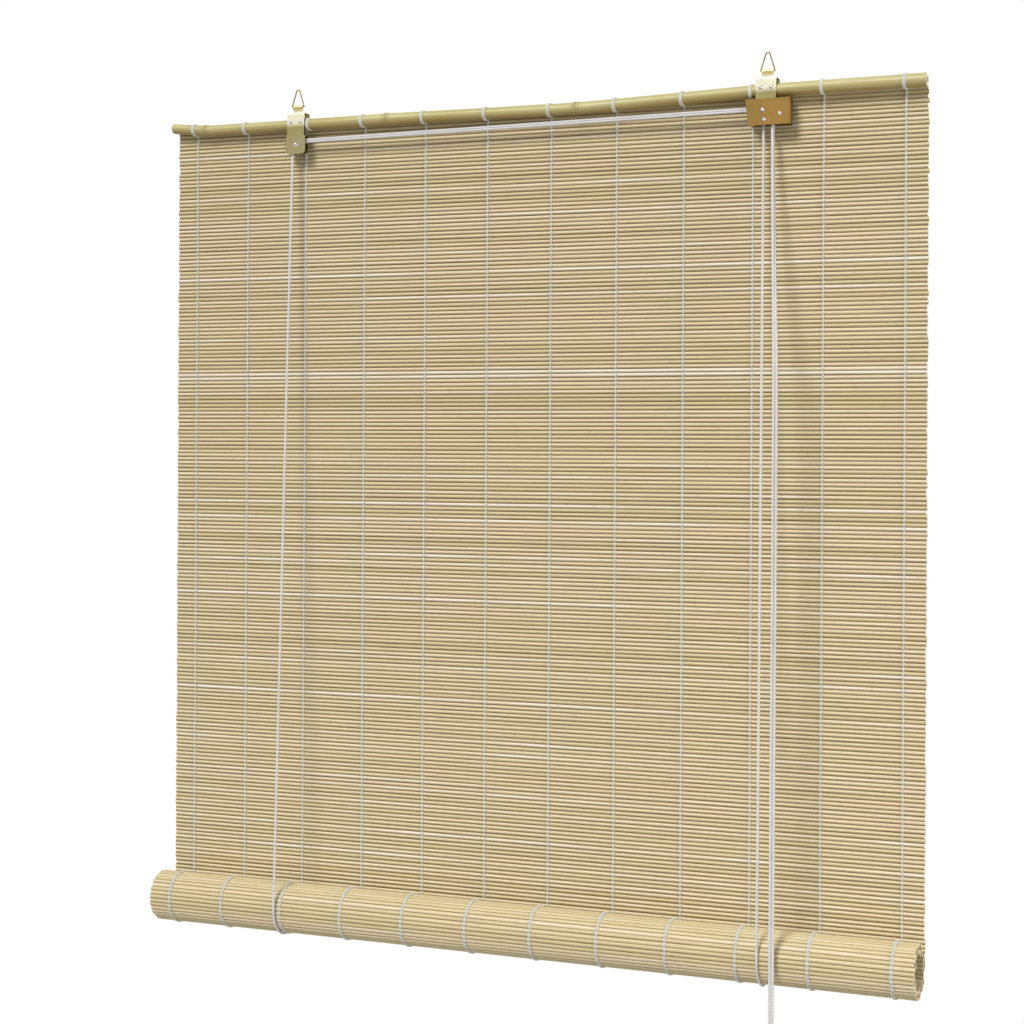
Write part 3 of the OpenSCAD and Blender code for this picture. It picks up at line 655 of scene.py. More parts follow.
class Growers:
    """Geometry Nodes trees that set out the reeds and sweep the strings and cords."""

    def __init__(self) -> None:
        """Builds both trees."""
        self.reeds = self._reeds()
        self.lines = self._lines()

    @staticmethod
    def _finish(graph: Graph, mesh: Socket, material: Socket,
                put: bpy.types.Node) -> None:
        """Shades what a tree has made smooth apart from its sharp edges and sets its material.

        Args:
            graph: the tree's graph.
            mesh: socket of the mesh.
            material: socket of the material.
            put: node of the tree's outputs.
        """
        angle = graph.out("GeometryNodeInputMeshEdgeAngle")
        sharp = graph.out("FunctionNodeCompare", {0: angle, 1: 1.0}, data_type="FLOAT",
                          operation="GREATER_THAN")
        smooth = graph.out("GeometryNodeSetShadeSmooth", {0: mesh, 2: True}, domain="FACE")
        sided = graph.out("GeometryNodeSetShadeSmooth", {0: smooth, 1: sharp, 2: False}, domain="EDGE")
        real = graph.out("GeometryNodeRealizeInstances", {0: sided})
        graph.fill(put, {0: graph.out("GeometryNodeSetMaterial", {"Geometry": real, "Material": material})})

    def _reeds(self) -> bpy.types.NodeTree:
        """Builds the tree that lays a reed along X through each point of its base mesh.

        Returns:
            The tree.
        """
        graph, given, put = new_group(
            "reeds_on_points", "GeometryNodeTree",
            [("Geometry", GEOMETRY, None), ("Length", NUMBER, 1.0), ("Height", NUMBER, 0.006),
             ("Depth", NUMBER, 0.005), ("Length Spread", NUMBER, 0.002), ("Size Spread", NUMBER, 0.08),
             ("Shift Spread", NUMBER, 0.001), ("Wobble", NUMBER, 0.0005), ("Under", NUMBER, 1.0),
             ("Seed", "NodeSocketInt", 0), ("Finish", "NodeSocketMaterial", None)],
            [("Geometry", GEOMETRY)])
        stick = graph.add("GeometryNodeMeshCylinder", {
            "Vertices": 8, "Side Segments": 6, "Radius": 0.5, "Depth": 1.0}, fill_type="NGON").outputs
        ends = graph.math("ADD", stick["Top"], stick["Bottom"])
        capped = graph.store(stick["Mesh"], "cut", ends, domain="FACE")
        lying = graph.out("GeometryNodeTransform", {
            "Geometry": capped, "Rotation": Euler((0, math.pi / 2, 0))})
        height = graph.split(graph.position())[2]
        # edge: 0 along a reed's middle and 1 at its top and bottom, where the reed finish paints shade between
        # neighbouring reeds.
        edged = graph.store(lying, "edge", graph.math("MULTIPLY", graph.math("ABSOLUTE", height), 2.0))
        # under: 0 at a reed's top and up to the Under input at its bottom, where the reed finish paints shade
        # along its lower side.
        below = graph.math("MULTIPLY", graph.math("SUBTRACT", 0.5, height), given["Under"])
        reed = graph.store(edged, "under", below)

        def spread(offset: int, around: Any, half: Any) -> Socket:
            """Adds a random value for each reed.

            Args:
                offset: number that sets this value's seed apart from the others.
                around: middle of the values.
                half: largest distance from that middle.

            Returns:
                The value's socket.
            """
            seed = graph.math("ADD", given["Seed"], float(offset))
            return graph.add("FunctionNodeRandomValue", {
                2: graph.math("SUBTRACT", around, half), 3: graph.math("ADD", around, half), "Seed": seed,
            }, data_type="FLOAT").outputs[1]

        size = graph.join(graph.math("ADD", given["Length"], spread(11, 0.0, given["Length Spread"])),
                          graph.math("MULTIPLY", given["Depth"], spread(23, 1.0, given["Size Spread"])),
                          graph.math("MULTIPLY", given["Height"], spread(37, 1.0, given["Size Spread"])))
        shift = graph.join(spread(41, 0.0, given["Shift Spread"]), 0.0, 0.0)
        points = graph.out("GeometryNodeSetPosition", {"Geometry": given["Geometry"], "Offset": shift})
        rows = graph.out("GeometryNodeInstanceOnPoints", {
            "Points": points, "Instance": reed, "Rotation": graph.join(graph.named("turn"), 0.0, 0.0),
            "Scale": size})
        toned = graph.store(rows, "tone", spread(53, 0.5, 0.5), domain="INSTANCE")
        real = graph.out("GeometryNodeRealizeInstances", {0: toned})
        wave = graph.add("ShaderNodeTexNoise", {
            "Vector": graph.join(graph.split(graph.position())[0], 0.0, 0.0),
            "W": graph.math("MULTIPLY", graph.named("tone"), 300.0), "Scale": 2.6, "Detail": 1.0},
            noise_dimensions="4D").outputs[1]
        centred = graph.vector("SUBTRACT", {0: wave, 1: (0.5, 0.5, 0.5)})
        across = graph.vector("MULTIPLY", {0: centred, 1: (0.0, 1.0, 1.0)})
        bend = graph.vector("SCALE", {0: across, "Scale": graph.math("MULTIPLY", given["Wobble"], 4.0)})
        bent = graph.out("GeometryNodeSetPosition", {"Geometry": real, "Offset": bend})
        self._finish(graph, bent, given["Finish"], put)
        return graph.tree

    def _lines(self) -> bpy.types.NodeTree:
        """Builds the tree that sweeps a round strand along each line of its base mesh.

        Returns:
            The tree.
        """
        graph, given, put = new_group(
            "strand_on_lines", "GeometryNodeTree",
            [("Geometry", GEOMETRY, None), ("Radius", NUMBER, 0.001), ("Sides", "NodeSocketInt", 6),
             ("Finish", "NodeSocketMaterial", None)],
            [("Geometry", GEOMETRY)])
        line = graph.out("GeometryNodeMeshToCurve", {0: given["Geometry"]})
        measured = graph.store(line, "along", graph.add("GeometryNodeSplineParameter").outputs["Length"])
        ring = graph.out("GeometryNodeCurvePrimitiveCircle", {
            "Resolution": given["Sides"], "Radius": given["Radius"]})
        profile = graph.store(ring, "swirl", graph.vector("NORMALIZE", {0: graph.position()}), "FLOAT_VECTOR")
        swept = graph.out("GeometryNodeCurveToMesh", {
            "Curve": measured, "Profile Curve": profile, "Fill Caps": True})
        self._finish(graph, swept, given["Finish"], put)
        return graph.tree

    def strands(self, name: str, lines: Iterable[Sequence[Point]], diameter: float, sides: int,
                finish: Material) -> bpy.types.Object:
        """Sweeps a round strand along each line.

        Args:
            name: name of the piece.
            lines: points of each line, in millimetres.
            diameter: thickness of the strands, in millimetres.
            sides: number of sides round a strand.
            finish: the strands' material.

        Returns:
            The piece.
        """
        return grown(name, line_mesh(name, lines), self.lines, {
            "Radius": diameter / 2000, "Sides": sides, "Finish": finish})


def linked(name: str, data: Any) -> bpy.types.Object:
    """Makes an object of a mesh, light or camera and puts it into the scene.

    Args:
        name: name of the object.
        data: what the object shows.

    Returns:
        The object.
    """
    thing = bpy.data.objects.new(name, data)
    bpy.context.scene.collection.objects.link(thing)
    return thing


def closed_mesh(name: str, points: Sequence[Point], faces: Sequence[Sequence[int]],
                edge: float = 0.0) -> bpy.types.Mesh:
    """Makes a closed mesh whose faces look outwards.

    Args:
        name: the mesh's name.
        points: its corners, in millimetres.
        faces: corners of each face.
        edge: size of the bevel on its sharp edges, in metres.

    Returns:
        The mesh, in metres.
    """
    mesh = bpy.data.meshes.new(name)
    mesh.from_pydata(placed(points), [], faces)
    work = bmesh.new()
    work.from_mesh(mesh)
    bmesh.ops.recalc_face_normals(work, faces=work.faces)
    if edge:
        sharp = [e for e in work.edges if e.calc_face_angle(0.0) > 1.0]
        bmesh.ops.bevel(work, geom=sharp, offset=edge, segments=2, affect="EDGES", profile=0.5)
    work.to_mesh(mesh)
    work.free()
    return mesh


def grown(name: str, base: bpy.types.Mesh, tree: bpy.types.NodeTree,
          values: dict[str, Any]) -> bpy.types.Object:
    """Runs a tree on a base mesh and keeps the result as a plain mesh.

    Args:
        name: name of the piece.
        base: points or lines that the tree works on.
        tree: the Geometry Nodes tree.
        values: values of the tree's inputs by name.

    Returns:
        The piece, at the origin.
    """
    carrier = linked(name + "_base", base)
    modifier = carrier.modifiers.new("grow", "NODES")
    modifier.node_group = tree
    for item in tree.interface.items_tree:
        if item.item_type == "SOCKET" and item.in_out == "INPUT" and item.name in values:
            modifier[item.identifier] = values[item.name]
    bpy.context.view_layer.update()
    depsgraph = bpy.context.evaluated_depsgraph_get()
    mesh = bpy.data.meshes.new_from_object(carrier.evaluated_get(depsgraph), preserve_all_data_layers=True,
                                           depsgraph=depsgraph)
    carrier.modifiers.remove(modifier)
    bpy.data.objects.remove(carrier)
    mesh.name = name
    return linked(name, mesh)


def line_mesh(name: str, lines: Iterable[Sequence[Point]]) -> bpy.types.Mesh:
    """Makes a mesh of open lines.

    Args:
        name: the mesh's name.
        lines: points of each line, in millimetres at the brackets' middle height.

    Returns:
        The mesh, in metres.
    """
    verts: list[Point] = []
    edges: list[tuple[int, int]] = []
    for line in lines:
        first = len(verts)
        verts.extend(placed(line))
        edges.extend((i, i + 1) for i in range(first, len(verts) - 1))
    mesh = bpy.data.meshes.new(name)
    mesh.from_pydata(verts, edges, [])
    return mesh


@dataclass(frozen=True)
class Band:
    """Stretch of a hanging piece between two shares of its drop."""

    first: float
    last: float

    @staticmethod
    def _eased(share: float) -> float:
        """Returns the place at which a smooth step reaches a share."""
        return 0.5 - math.sin(math.asin(1 - 2 * share) / 3)

    def holds(self, share: float) -> bool:
        """Tells whether a share of the drop lies in the band."""
        return (share >= self.first or self.first == 0) and (share < self.last or self.last == 1)

    def apply(self, piece: bpy.types.Object, top: float, bottom: float, upper: Body, lower: Body) -> None:
        """Bakes a finished piece's transform into its mesh.

        Args:
            piece: the finished piece.
            top: height at which the whole hanging piece leaves the upper body; not used.
            bottom: height at which it meets the lower body; not used.
            upper: the upper body; not used.
            lower: the lower body; not used.
        """
        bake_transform(piece)


BANDS = tuple(Band(a, b) for a, b in ((0, 0.02), (0.02, 0.1), (0.1, 0.3), (0.3, 0.7), (0.7, 0.9), (0.9, 0.98),
                                      (0.98, 1)))
Span = tuple[Band, float, float, Body, Body]


def cut_line(line: Sequence[Point], top: float, bottom: float, band: Band) -> list[Point]:
    """Cuts a falling line to one band.

    Args:
        line: points from the top down.
        top: height of the share 0.
        bottom: height of the share 1.
        band: the band to keep.

    Returns:
        The points in the band, with a point on each of its edges.
    """
    high = math.inf if band.first == 0 else top - (top - bottom) * band.first
    low = -math.inf if band.last == 1 else top - (top - bottom) * band.last
    kept: list[Point] = []
    for a, b in zip(line, line[1:]):
        drop = a[2] - b[2]
        if drop < 1e-9:
            if low < a[2] <= high and (not kept or kept[-1] != a):
                kept.append(a)
            continue
        inside = [max(0.0, (a[2] - high) / drop), min(1.0, (a[2] - low) / drop)]
        if inside[0] >= inside[1]:
            continue
        for share in inside:
            p = tuple(u + (v - u) * share for u, v in zip(a, b))
            if not kept or (Vector(p) - Vector(kept[-1])).length > 1e-6:
                kept.append(p)
    return kept


@dataclass
class Pole:
    """Bamboo pole, kinked at its growth rings and hollow at its ends."""

    finish: Material
    length: float = 1200.0
    thin: float = 16.0
    thick: float = 19.6
    back: float = 9.5
    line: tuple[tuple[float, float], ...] = ((-600, 3.4), (-539, -3.2), (-221, -2.8), (87, -5.2),
                                             (375, RIGHT_Z), (600, 3.8))
    rings: tuple[float, ...] = (-539.0, -221.0, 87.0)
    hollow: float = 8.0
    hollow_length: float = 40.0
    sides: int = 32
    step: float = 15.0
    ring_step: float = 0.8
    ring_steps: int = 16
    end_steps: tuple[float, ...] = (0.3, 0.9, 2.0)
    end_insets: tuple[tuple[float, float], ...] = ((0.5, 0.25), (1.2, 0.06))
    kink_steps: tuple[float, ...] = (-12, -6, 0, 6, 12)
    # A wave has a height, a length and a start, and a ring's bump a height, a place and a width.
    waves: tuple[Point, ...] = ((0.12, 47, 0), (0.08, 19, 1))
    ring_rises: tuple[Point, ...] = ((0.55, 0, 9), (0.85, -2.4, 1.5), (0.45, 2.6, 1.6), (-0.35, 0, 0.9))
    ring_marks: tuple[Point, ...] = ((0.75, -0.2, 1.0), (0.4, 4.4, 1.1), (0.3, -5.2, 1.4))
    oval: float = 0.012
    oval_turn: float = 150.0

    def radius(self, x: float) -> float:
        """Returns the plain culm's radius at a place."""
        return (self.thin + (self.thick - self.thin) * (x + self.length / 2) / self.length) / 2

    def centre(self, x: float) -> tuple[float, float]:
        """Returns the culm's middle at a place, as Y and Z."""
        return self.back - self.radius(x), self._height(x)

    def _height(self, x: float) -> float:
        """Returns the height of the culm's middle, with its kinks a little rounded."""
        def straight(at: float) -> float:
            """Returns the height on the plain kinked line."""
            for (xa, za), (xb, zb) in zip(self.line, self.line[1:]):
                if at <= xb:
                    break
            return za + (zb - za) * (at - xa) / (xb - xa)
        return sum(straight(x + d) for d in self.kink_steps) / len(self.kink_steps)

    def _swell(self, x: float) -> tuple[float, float]:
        """Shapes the growth rings.

        Args:
            x: place along the pole.

        Returns:
            The rise above the plain culm and the strength of the ring's brown.
        """
        def bumps(d: float, shapes: Sequence[Point]) -> float:
            """Returns the sum of bumps of a height, place and width, at a distance from a ring."""
            return sum(height * math.exp(-((d - at) / width) ** 2) for height, at, width in shapes)
        rise = sum(height * math.sin(x / length + start) for height, length, start in self.waves)
        rise += sum(bumps(x - ring, self.ring_rises) for ring in self.rings)
        return rise, min(1.0, sum(bumps(x - ring, self.ring_marks) for ring in self.rings))

    def _stations(self) -> list[float]:
        """Returns the places along the pole, close together at the rings and ends."""
        half, edge = self.length / 2, self.end_steps[0]
        places = {round(-half + i * self.step, 3) for i in range(round(self.length / self.step) + 1)}
        for ring in self.rings:
            places |= {ring + self.ring_step * i for i in range(-self.ring_steps, self.ring_steps + 1)}
        places |= {s * (half - d) for s in (-1, 1) for d in self.end_steps}
        return sorted(p for p in places if -half + edge <= p <= half - edge)

    def _mouth(self, side: int) -> list[tuple[float, float, float, float]]:
        """Shapes a hollow end.

        Args:
            side: -1 for the left end and 1 for the right one.

        Returns:
            Place, radius, ring's brown and bareness of each row, from inside out.
        """
        end, bore = side * self.length / 2, self.hollow / 2
        return [(end - side * self.hollow_length, bore * 0.96, 0.0, 0.6), (end - side, bore, 0.0, 0.8),
                (end, bore + 0.4, 0.0, 1.0), (end, self.radius(end) - 0.5, 0.0, 1.0)]

    def build(self) -> bpy.types.Object:
        """Lofts the culm and returns the piece."""
        half, n = self.length / 2, self.sides
        rows = self._mouth(-1)
        for x in self._stations():
            rise, mark = self._swell(x)
            near = half - abs(x)
            inset = next((by for room, by in self.end_insets if near < room), 0.0)
            bare = 0.5 if near < self.end_insets[0][0] else 0.0
            rows.append((x, self.radius(x) + rise - inset, mark, bare))
        rows += self._mouth(1)[::-1]
        points: list[Point] = []
        marks: list[Point] = []
        for x, r, mark, cut in rows:
            y, z = self.centre(max(-half, min(half, x)))
            for j in range(n):
                a = 2 * math.pi * j / n
                out = r * (1 + self.oval * math.sin(2 * a + x / self.oval_turn))
                points.append((x, y + out * math.cos(a), z + out * math.sin(a)))
                # The third value rises towards the culm's underside, where its finish paints shade and a brown
                # reflection.
                marks.append((mark, cut, 0.5 - 0.5 * math.sin(a)))
        faces: list[Sequence[int]] = []
        for i in range(len(rows) - 1):
            faces += [(i * n + j, i * n + (j + 1) % n, (i + 1) * n + (j + 1) % n, (i + 1) * n + j)
                      for j in range(n)]
        last = (len(rows) - 1) * n
        faces += [tuple(range(n)), tuple(range(last, last + n))]
        mesh = closed_mesh("culm", points, faces)
        for label, column in (("mark", 0), ("cut", 1), ("under", 2)):
            layer = mesh.attributes.new(label, "FLOAT", "POINT")
            layer.data.foreach_set("value", [m[column] for m in marks])
        mesh.shade_smooth()
        mesh.materials.append(self.finish)
        return linked("culm", mesh)

    def dress(self) -> Pieces:
        """Builds the pole, fixes it to its body and returns the pieces."""
        piece = self.build()
        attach(piece, Body.HEADRAIL.value)
        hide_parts("bamboo_pole")
        return [piece]


@dataclass
class Strings:
    """Weaving strings of the mat and the roll, and their ties round the pole."""

    growers: Growers
    finish: Material
    pole: Pole
    left: float = -591.0
    right: float = 599.0
    inset: float = 30.0
    first: float = 122.0
    pitch: float = 102.5
    count: int = 10
    bracket: float = 375.0
    reach: float = 3.45
    woven_d: float = 2.9
    pair_half: float = 1.1
    # Over each reed a string makes a bead: places along it, with their shares of the reach.
    bead: tuple[tuple[float, float], ...] = ((-1.0, 0.86), (0.0, 1.0), (1.0, 0.86))
    bead_half: float = 1.9
    sway: float = 0.5
    wound_sway: float = 0.4
    dip: float = 1.2
    tie_room: float = 18.8
    tie_steps: int = 90
    tie_start: float = -60.0
    tie_sweep: float = 1140.0
    tie_width: float = 4.7
    tie_wobble: float = 0.3
    tie_lift: float = 0.6
    # Ways of a tie's ends to the first reed, with heights above it.
    rear_way: tuple[float, float] = (11.6, 3.0)
    rear_turn: Point = (0.3, 0.9, 2.0)
    front_way: tuple[float, float] = (10.4, 1.0)

    def places(self) -> list[float]:
        """Returns the strings' places along the mat."""
        inner = [self.left + self.first + i * self.pitch for i in range(self.count)]
        return [self.left + self.inset, *inner, self.right - self.inset]

    def tie_place(self, x: float) -> float:
        """Returns the place of a string's tie on the pole, clear of the brackets."""
        for b in (-self.bracket, self.bracket):
            if abs(x - b) < self.tie_room:
                return b + math.copysign(self.tie_room, x - b)
        return x

    def woven(self, x: float, side: int) -> list[Point]:
        """Lays one of a pair of strings, which change sides between the reeds.

        Args:
            x: the pair's place along the mat.
            side: 1 or -1, the face on which it passes the first reed.

        Returns:
            Its points from the first reed down to the roll.
        """
        line: list[Point] = []
        for k in range(REEDS):
            face = side if k % 2 == 0 else -side
            z = REED_TOP - k * REED_PITCH
            for step, share in self.bead:
                line.append((x - self.sway * face * step, MAT_Y - face * self.reach * share,
                             z - self.bead_half * step))
        return line

    def tie(self, x: float) -> list[list[Point]]:
        """Winds three turns round the pole and leads both ends to the first reed.

        Args:
            x: place of the string that the tie holds.

        Returns:
            The lines of the tie.
        """
        at = self.tie_place(x)
        turns: list[Point] = []
        for i in range(self.tie_steps + 1):
            share = i / self.tie_steps
            angle = math.radians(self.tie_start + self.tie_sweep * share)
            along = at + self.tie_width * (share - 0.5) + self.tie_wobble * math.sin(angle)
            y, z = self.pole.centre(along)
            r = self.pole.radius(along) + self.tie_lift
            turns.append((along, y + r * math.cos(angle), z + r * math.sin(angle)))
        aside, share, rise = self.rear_turn
        rear = [turns[0], ((turns[0][0] + x) / 2, self.rear_way[0], REED_TOP + self.rear_way[1]),
                (x + aside, MAT_Y + self.reach * share, REED_TOP + rise),
                (x + self.sway, MAT_Y + self.reach, REED_TOP)]
        front = [turns[-1], ((turns[-1][0] + x) / 2, self.front_way[0], REED_TOP + self.front_way[1]),
                 (x - self.sway, MAT_Y - self.reach, REED_TOP)]
        return [turns, rear, front]

    def wound(self, x: float, roll: "Roll") -> list[Point]:
        """Lays a string over the outer turn of the roll.

        Args:
            x: place of the string along the roll.
            roll: the roll that it lies on.

        Returns:
            Its points, beaded by the reeds below it.
        """
        line: list[Point] = []
        for i in range(roll.outer_reeds):
            for step, share in self.bead:
                y, z, _ = roll.spot(roll.start + i * REED_PITCH + self.bead_half * step, -self.reach * share)
                line.append((x + self.wound_sway * (1 if i % 2 else -1) * step, y, z))
            y, z, _ = roll.spot(roll.start + (i + 0.5) * REED_PITCH, -self.dip)
            line.append((x, y, z))
        return line

    def dress(self, roll: "Roll") -> Pieces:
        """Builds all strings and fixes the ties and the roll's strings to their bodies.

        Args:
            roll: the roll that the lower strings lie on.

        Returns:
            The pieces.
        """
        pieces: Pieces = []
        pairs = [self.woven(x, side) for x in self.places() for side in (1, -1)]
        for i, band in enumerate(BANDS):
            name = f"mat_strings_{i + 1}"
            lines = [cut_line(pair, MAT_TOP, MAT_BOTTOM, band) for pair in pairs]
            piece = self.growers.strands(name, lines, self.woven_d, STRING_SIDES, self.finish)
            band.apply(piece, MAT_TOP, MAT_BOTTOM, Body.HEADRAIL, Body.SLINGS)
            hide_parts("mat_strings")
            pieces.append(piece)
        tied = [line for x in self.places() for line in self.tie(x)]
        ties = self.growers.strands("pole_tie_turns", tied, STRING_D, STRING_SIDES, self.finish)
        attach(ties, Body.HEADRAIL.value)
        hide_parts("pole_ties")
        laid = [self.wound(x + side * self.pair_half, roll) for x in self.places() for side in (-1, 1)]
        wound = self.growers.strands("roll_string_turns", laid, STRING_D, STRING_SIDES, self.finish)
        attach(wound, Body.ROLL.value)
        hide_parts("roll_strings")
        pieces += [ties, wound]
        return pieces


@dataclass
class Roll:
    """Lower reeds of the mat, wound in half turns of falling radius."""

    reeds: int = 62
    radius: float = 40.5
    reed: float = 5.4
    turn_pitch: float = 7.4
    start: float = 0.5
    outer_reeds: int = 35
    seed: int = 74

    def spot(self, run: float, inset: float = 0.0) -> tuple[float, float, float]:
        """Follows the mat into the roll.

        Args:
            run: length of mat from the height of the roll's axis.
            inset: distance from the reeds' middles towards the roll's middle.

        Returns:
            Y, Z and the turn of a reed there.
        """
        half, r = 0, self.radius - self.reed / 2
        while run > math.pi * r:
            run -= math.pi * r
            half += 1
            r -= self.turn_pitch / 2
        angle = run / r
        reach = r - inset
        if half % 2 == 0:
            return ROLL_AXIS[0] + reach * math.cos(angle), ROLL_AXIS[1] - reach * math.sin(angle), -angle
        return (ROLL_AXIS[0] - self.turn_pitch / 2 - reach * math.cos(angle),
                ROLL_AXIS[1] + reach * math.sin(angle), -angle)

    def dress(self, mat: "Mat") -> Pieces:
        """Builds the wound reeds and fixes them to the roll.

        Args:
            mat: the mat whose reeds these are.

        Returns:
            The pieces.
        """
        spots = [self.spot(self.start + i * REED_PITCH) for i in range(self.reeds)]
        # The wound reeds get no painted shade along their lower side, only the painted shade between reeds.
        piece = mat.lay_reeds("roll_reeds", [(mat.middle, y, z) for y, z, _ in spots],
                              [turn for _, _, turn in spots], self.seed, 0.0)
        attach(piece, Body.ROLL.value)
        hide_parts("mat_roll")
        return [piece]


@dataclass
class Mat:
    """Hanging reeds of the mat."""

    growers: Growers
    finish: Material
    width: float = 1195.5
    middle: float = 1.75
    height: float = 6.7
    depth: float = 5.4
    seed: int = 5
    seed_step: int = 100

    def lay_reeds(self, name: str, spots: Sequence[Point], turns: Sequence[float], seed: int,
                  under: float = 1.0) -> bpy.types.Object:
        """Lays a reed through each spot.

        Args:
            name: name of the piece.
            spots: middles of the reeds.
            turns: turn of each reed about its length, in radians.
            seed: number that sets the reeds' random sizes and tones.
            under: strength of the painted shade along each reed's lower side.

        Returns:
            The piece.
        """
        mesh = bpy.data.meshes.new(name)
        mesh.from_pydata(placed(spots), [], [])
        layer = mesh.attributes.new("turn", "FLOAT", "POINT")
        layer.data.foreach_set("value", list(turns))
        return grown(name, mesh, self.growers.reeds, {
            "Length": self.width / 1000, "Height": self.height / 1000, "Depth": self.depth / 1000,
            "Length Spread": 0.0015, "Size Spread": 0.03, "Shift Spread": 0.0007, "Wobble": 0.0003,
            "Under": under, "Seed": seed, "Finish": self.finish})

    def dress(self) -> Pieces:
        """Builds the reeds in bands and returns the pieces."""
        spots = [(self.middle, MAT_Y, REED_TOP - k * REED_PITCH) for k in range(REEDS)]
        pieces = []
        for i, band in enumerate(BANDS):
            kept = [p for p in spots if band.holds((MAT_TOP - p[2]) / (MAT_TOP - MAT_BOTTOM))]
            seed = self.seed + self.seed_step * i
            piece = self.lay_reeds(f"mat_reeds_{i + 1}", kept, [0.0] * len(kept), seed)
            band.apply(piece, MAT_TOP, MAT_BOTTOM, Body.HEADRAIL, Body.SLINGS)
            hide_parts("reed_mat")
            pieces.append(piece)
        return pieces


@dataclass
class LiftCords:
    """Cords that carry the roll: behind the mat, round the roll and up to the sheaves, and across."""

    growers: Growers
    finish: Material
    left_sling: float = -375.0
    right_sling: float = 383.0
    left_sheave: tuple[float, float] = (-375.0, -4.17)
    lock_sheave: tuple[float, float] = (376.5, LOCK_FRONT_Y)
    run: float = 7.0
    sling_r: float = 42.4
    sling_d: float = 3.2
    bend: float = 6.4
    lip: float = 9.8
    hole: float = 1.6
    steps: int = 30
    back_step: float = 40.0
    knot: float = 6.2
    knot_heights: tuple[float, float] = (12.74 + LEFT_Z, 13.86 + RIGHT_Z)
    knot_d: float = 2.4
    knot_turn: tuple[float, float] = (1.25, 0.55)
    knot_depth: float = 1.15
    knot_steps: int = 48
    doubling: tuple[float, float] = (0.4, -3.0)

    @staticmethod
    def _arc(y: float, z: float, r: float, start: float, end: float, steps: int) -> list[tuple[float, float]]:
        """Returns points of an arc in a plane, with angles in degrees."""
        angles = [math.radians(start + (end - start) * i / steps) for i in range(steps + 1)]
        return [(y + r * math.cos(a), z + r * math.sin(a)) for a in angles]

    def back_strand(self, x: float, height: float) -> list[Point]:
        """Leads a cord from the strap's lip over the mat's top and down behind the mat.

        Args:
            x: place of the cord.
            height: height of its hole in the lip.

        Returns:
            Its points from the lip down.
        """
        y = ROLL_AXIS[0] + self.sling_r
        turn = self._arc(y - self.bend, height - self.bend, self.bend, 90, 0, 10)
        straight = [height - self.bend - self.back_step * i for i in range(1, self.steps + 1)]
        return [(x, self.lip - self.hole, height), (x, self.lip, height), *((x, p, q) for p, q in turn),
                *((x, y, z) for z in straight), (x, y, ROLL_AXIS[1])]

    def front_strand(self, start: Point, x: float) -> list[Point]:
        """Leads a cord straight down from its sheave to the front of its sling.

        Args:
            start: place where it leaves the sheave.
            x: place of the sling.

        Returns:
            Its points.
        """
        end = (x, ROLL_AXIS[0] - self.sling_r, ROLL_AXIS[1])
        return [tuple(a + (b - a) * i / self.steps for a, b in zip(start, end)) for i in range(self.steps + 1)]

    def ball_knot(self, x: float, height: float) -> list[Point]:
        """Ties the knot that stops a cord inside the strap's lip.

        Args:
            x: place of the cord.
            height: height of its hole.

        Returns:
            Points of the knotted line.
        """
        line = []
        for i in range(self.knot_steps + 1):
            a = 2 * math.pi * i / self.knot_steps
            r = self.knot_turn[0] + self.knot_turn[1] * math.cos(3 * a)
            line.append((x + r * math.cos(2 * a), self.lip - self.knot / 2 + self.knot_depth * math.sin(3 * a),
                         height + r * math.sin(2 * a)))
        return line

    def dress(self) -> Pieces:
        """Builds the cords, fixes the knots, slings and crossing strand to their bodies and returns the pieces.
        """
        pieces: Pieces = []
        drops = [z - SHEAVE_EXIT for z in (LEFT_Z, RIGHT_Z)]
        slings = (self.left_sling, self.right_sling)
        back = [self.back_strand(x, h) for x, h in zip(slings, self.knot_heights)]
        front = [self.front_strand((self.left_sheave[0] - self.run, self.left_sheave[1], drops[0]), slings[0]),
                 self.front_strand((self.lock_sheave[0] - self.run, LOCK_REAR_Y, drops[1]), slings[1])]
        for label, lines, top, nodes in (
                ("back", back, 0.0, ("left_lift_cord_back", "right_lift_cord_back")),
                ("front", front, min(drops), ("left_lift_cord_front", "right_lift_cord_front"))):
            for i, band in enumerate(BANDS):
                name = f"lift_cords_{label}_{i + 1}"
                cut = [cut_line(line, top, ROLL_AXIS[1], band) for line in lines]
                piece = self.growers.strands(name, cut, CORD_D, CORD_SIDES, self.finish)
                band.apply(piece, top, ROLL_AXIS[1], Body.HEADRAIL, Body.SLINGS)
                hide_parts(*nodes)
                pieces.append(piece)
        tied = [self.ball_knot(x, h) for x, h in zip(slings, self.knot_heights)]
        knots = self.growers.strands("lift_cord_knots", tied, self.knot_d, CORD_SIDES, self.finish)
        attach(knots, Body.HEADRAIL.value)
        loops = [[(x, y, z) for y, z in self._arc(*ROLL_AXIS, self.sling_r, 180, 360, 40)] for x in slings]
        sling = self.growers.strands("roll_slings", loops, self.sling_d, CORD_SIDES, self.finish)
        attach(sling, Body.SLINGS.value)
        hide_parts("left_cord_sling", "right_cord_sling")
        lock = (self.lock_sheave[0], RIGHT_Z - SHEAVE_DROP, self.run)
        rise = self._arc(self.left_sheave[0], LEFT_Z - SHEAVE_DROP, self.run, 180, 90, 8)
        fall = self._arc(*lock, 90, 0, 8)
        over = [(x, self.left_sheave[1], z) for x, z in rise] + [(x, self.lock_sheave[1], z) for x, z in fall]
        second = [(x, y + self.doubling[0], z + self.doubling[1])
                  for x, y, z in (over[len(rise) - 1], over[len(rise)])]
        turn = [(x, LOCK_REAR_Y, z) for x, z in self._arc(*lock, 180, 0, 16)]
        across = self.growers.strands("crossing_strand", [over, second, turn], CORD_D, CORD_SIDES, self.finish)
        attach(across, Body.HEADRAIL.value)
        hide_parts("crossing_cord", "lock_cord_turn")
        pieces += [knots, sling, across]
        return pieces


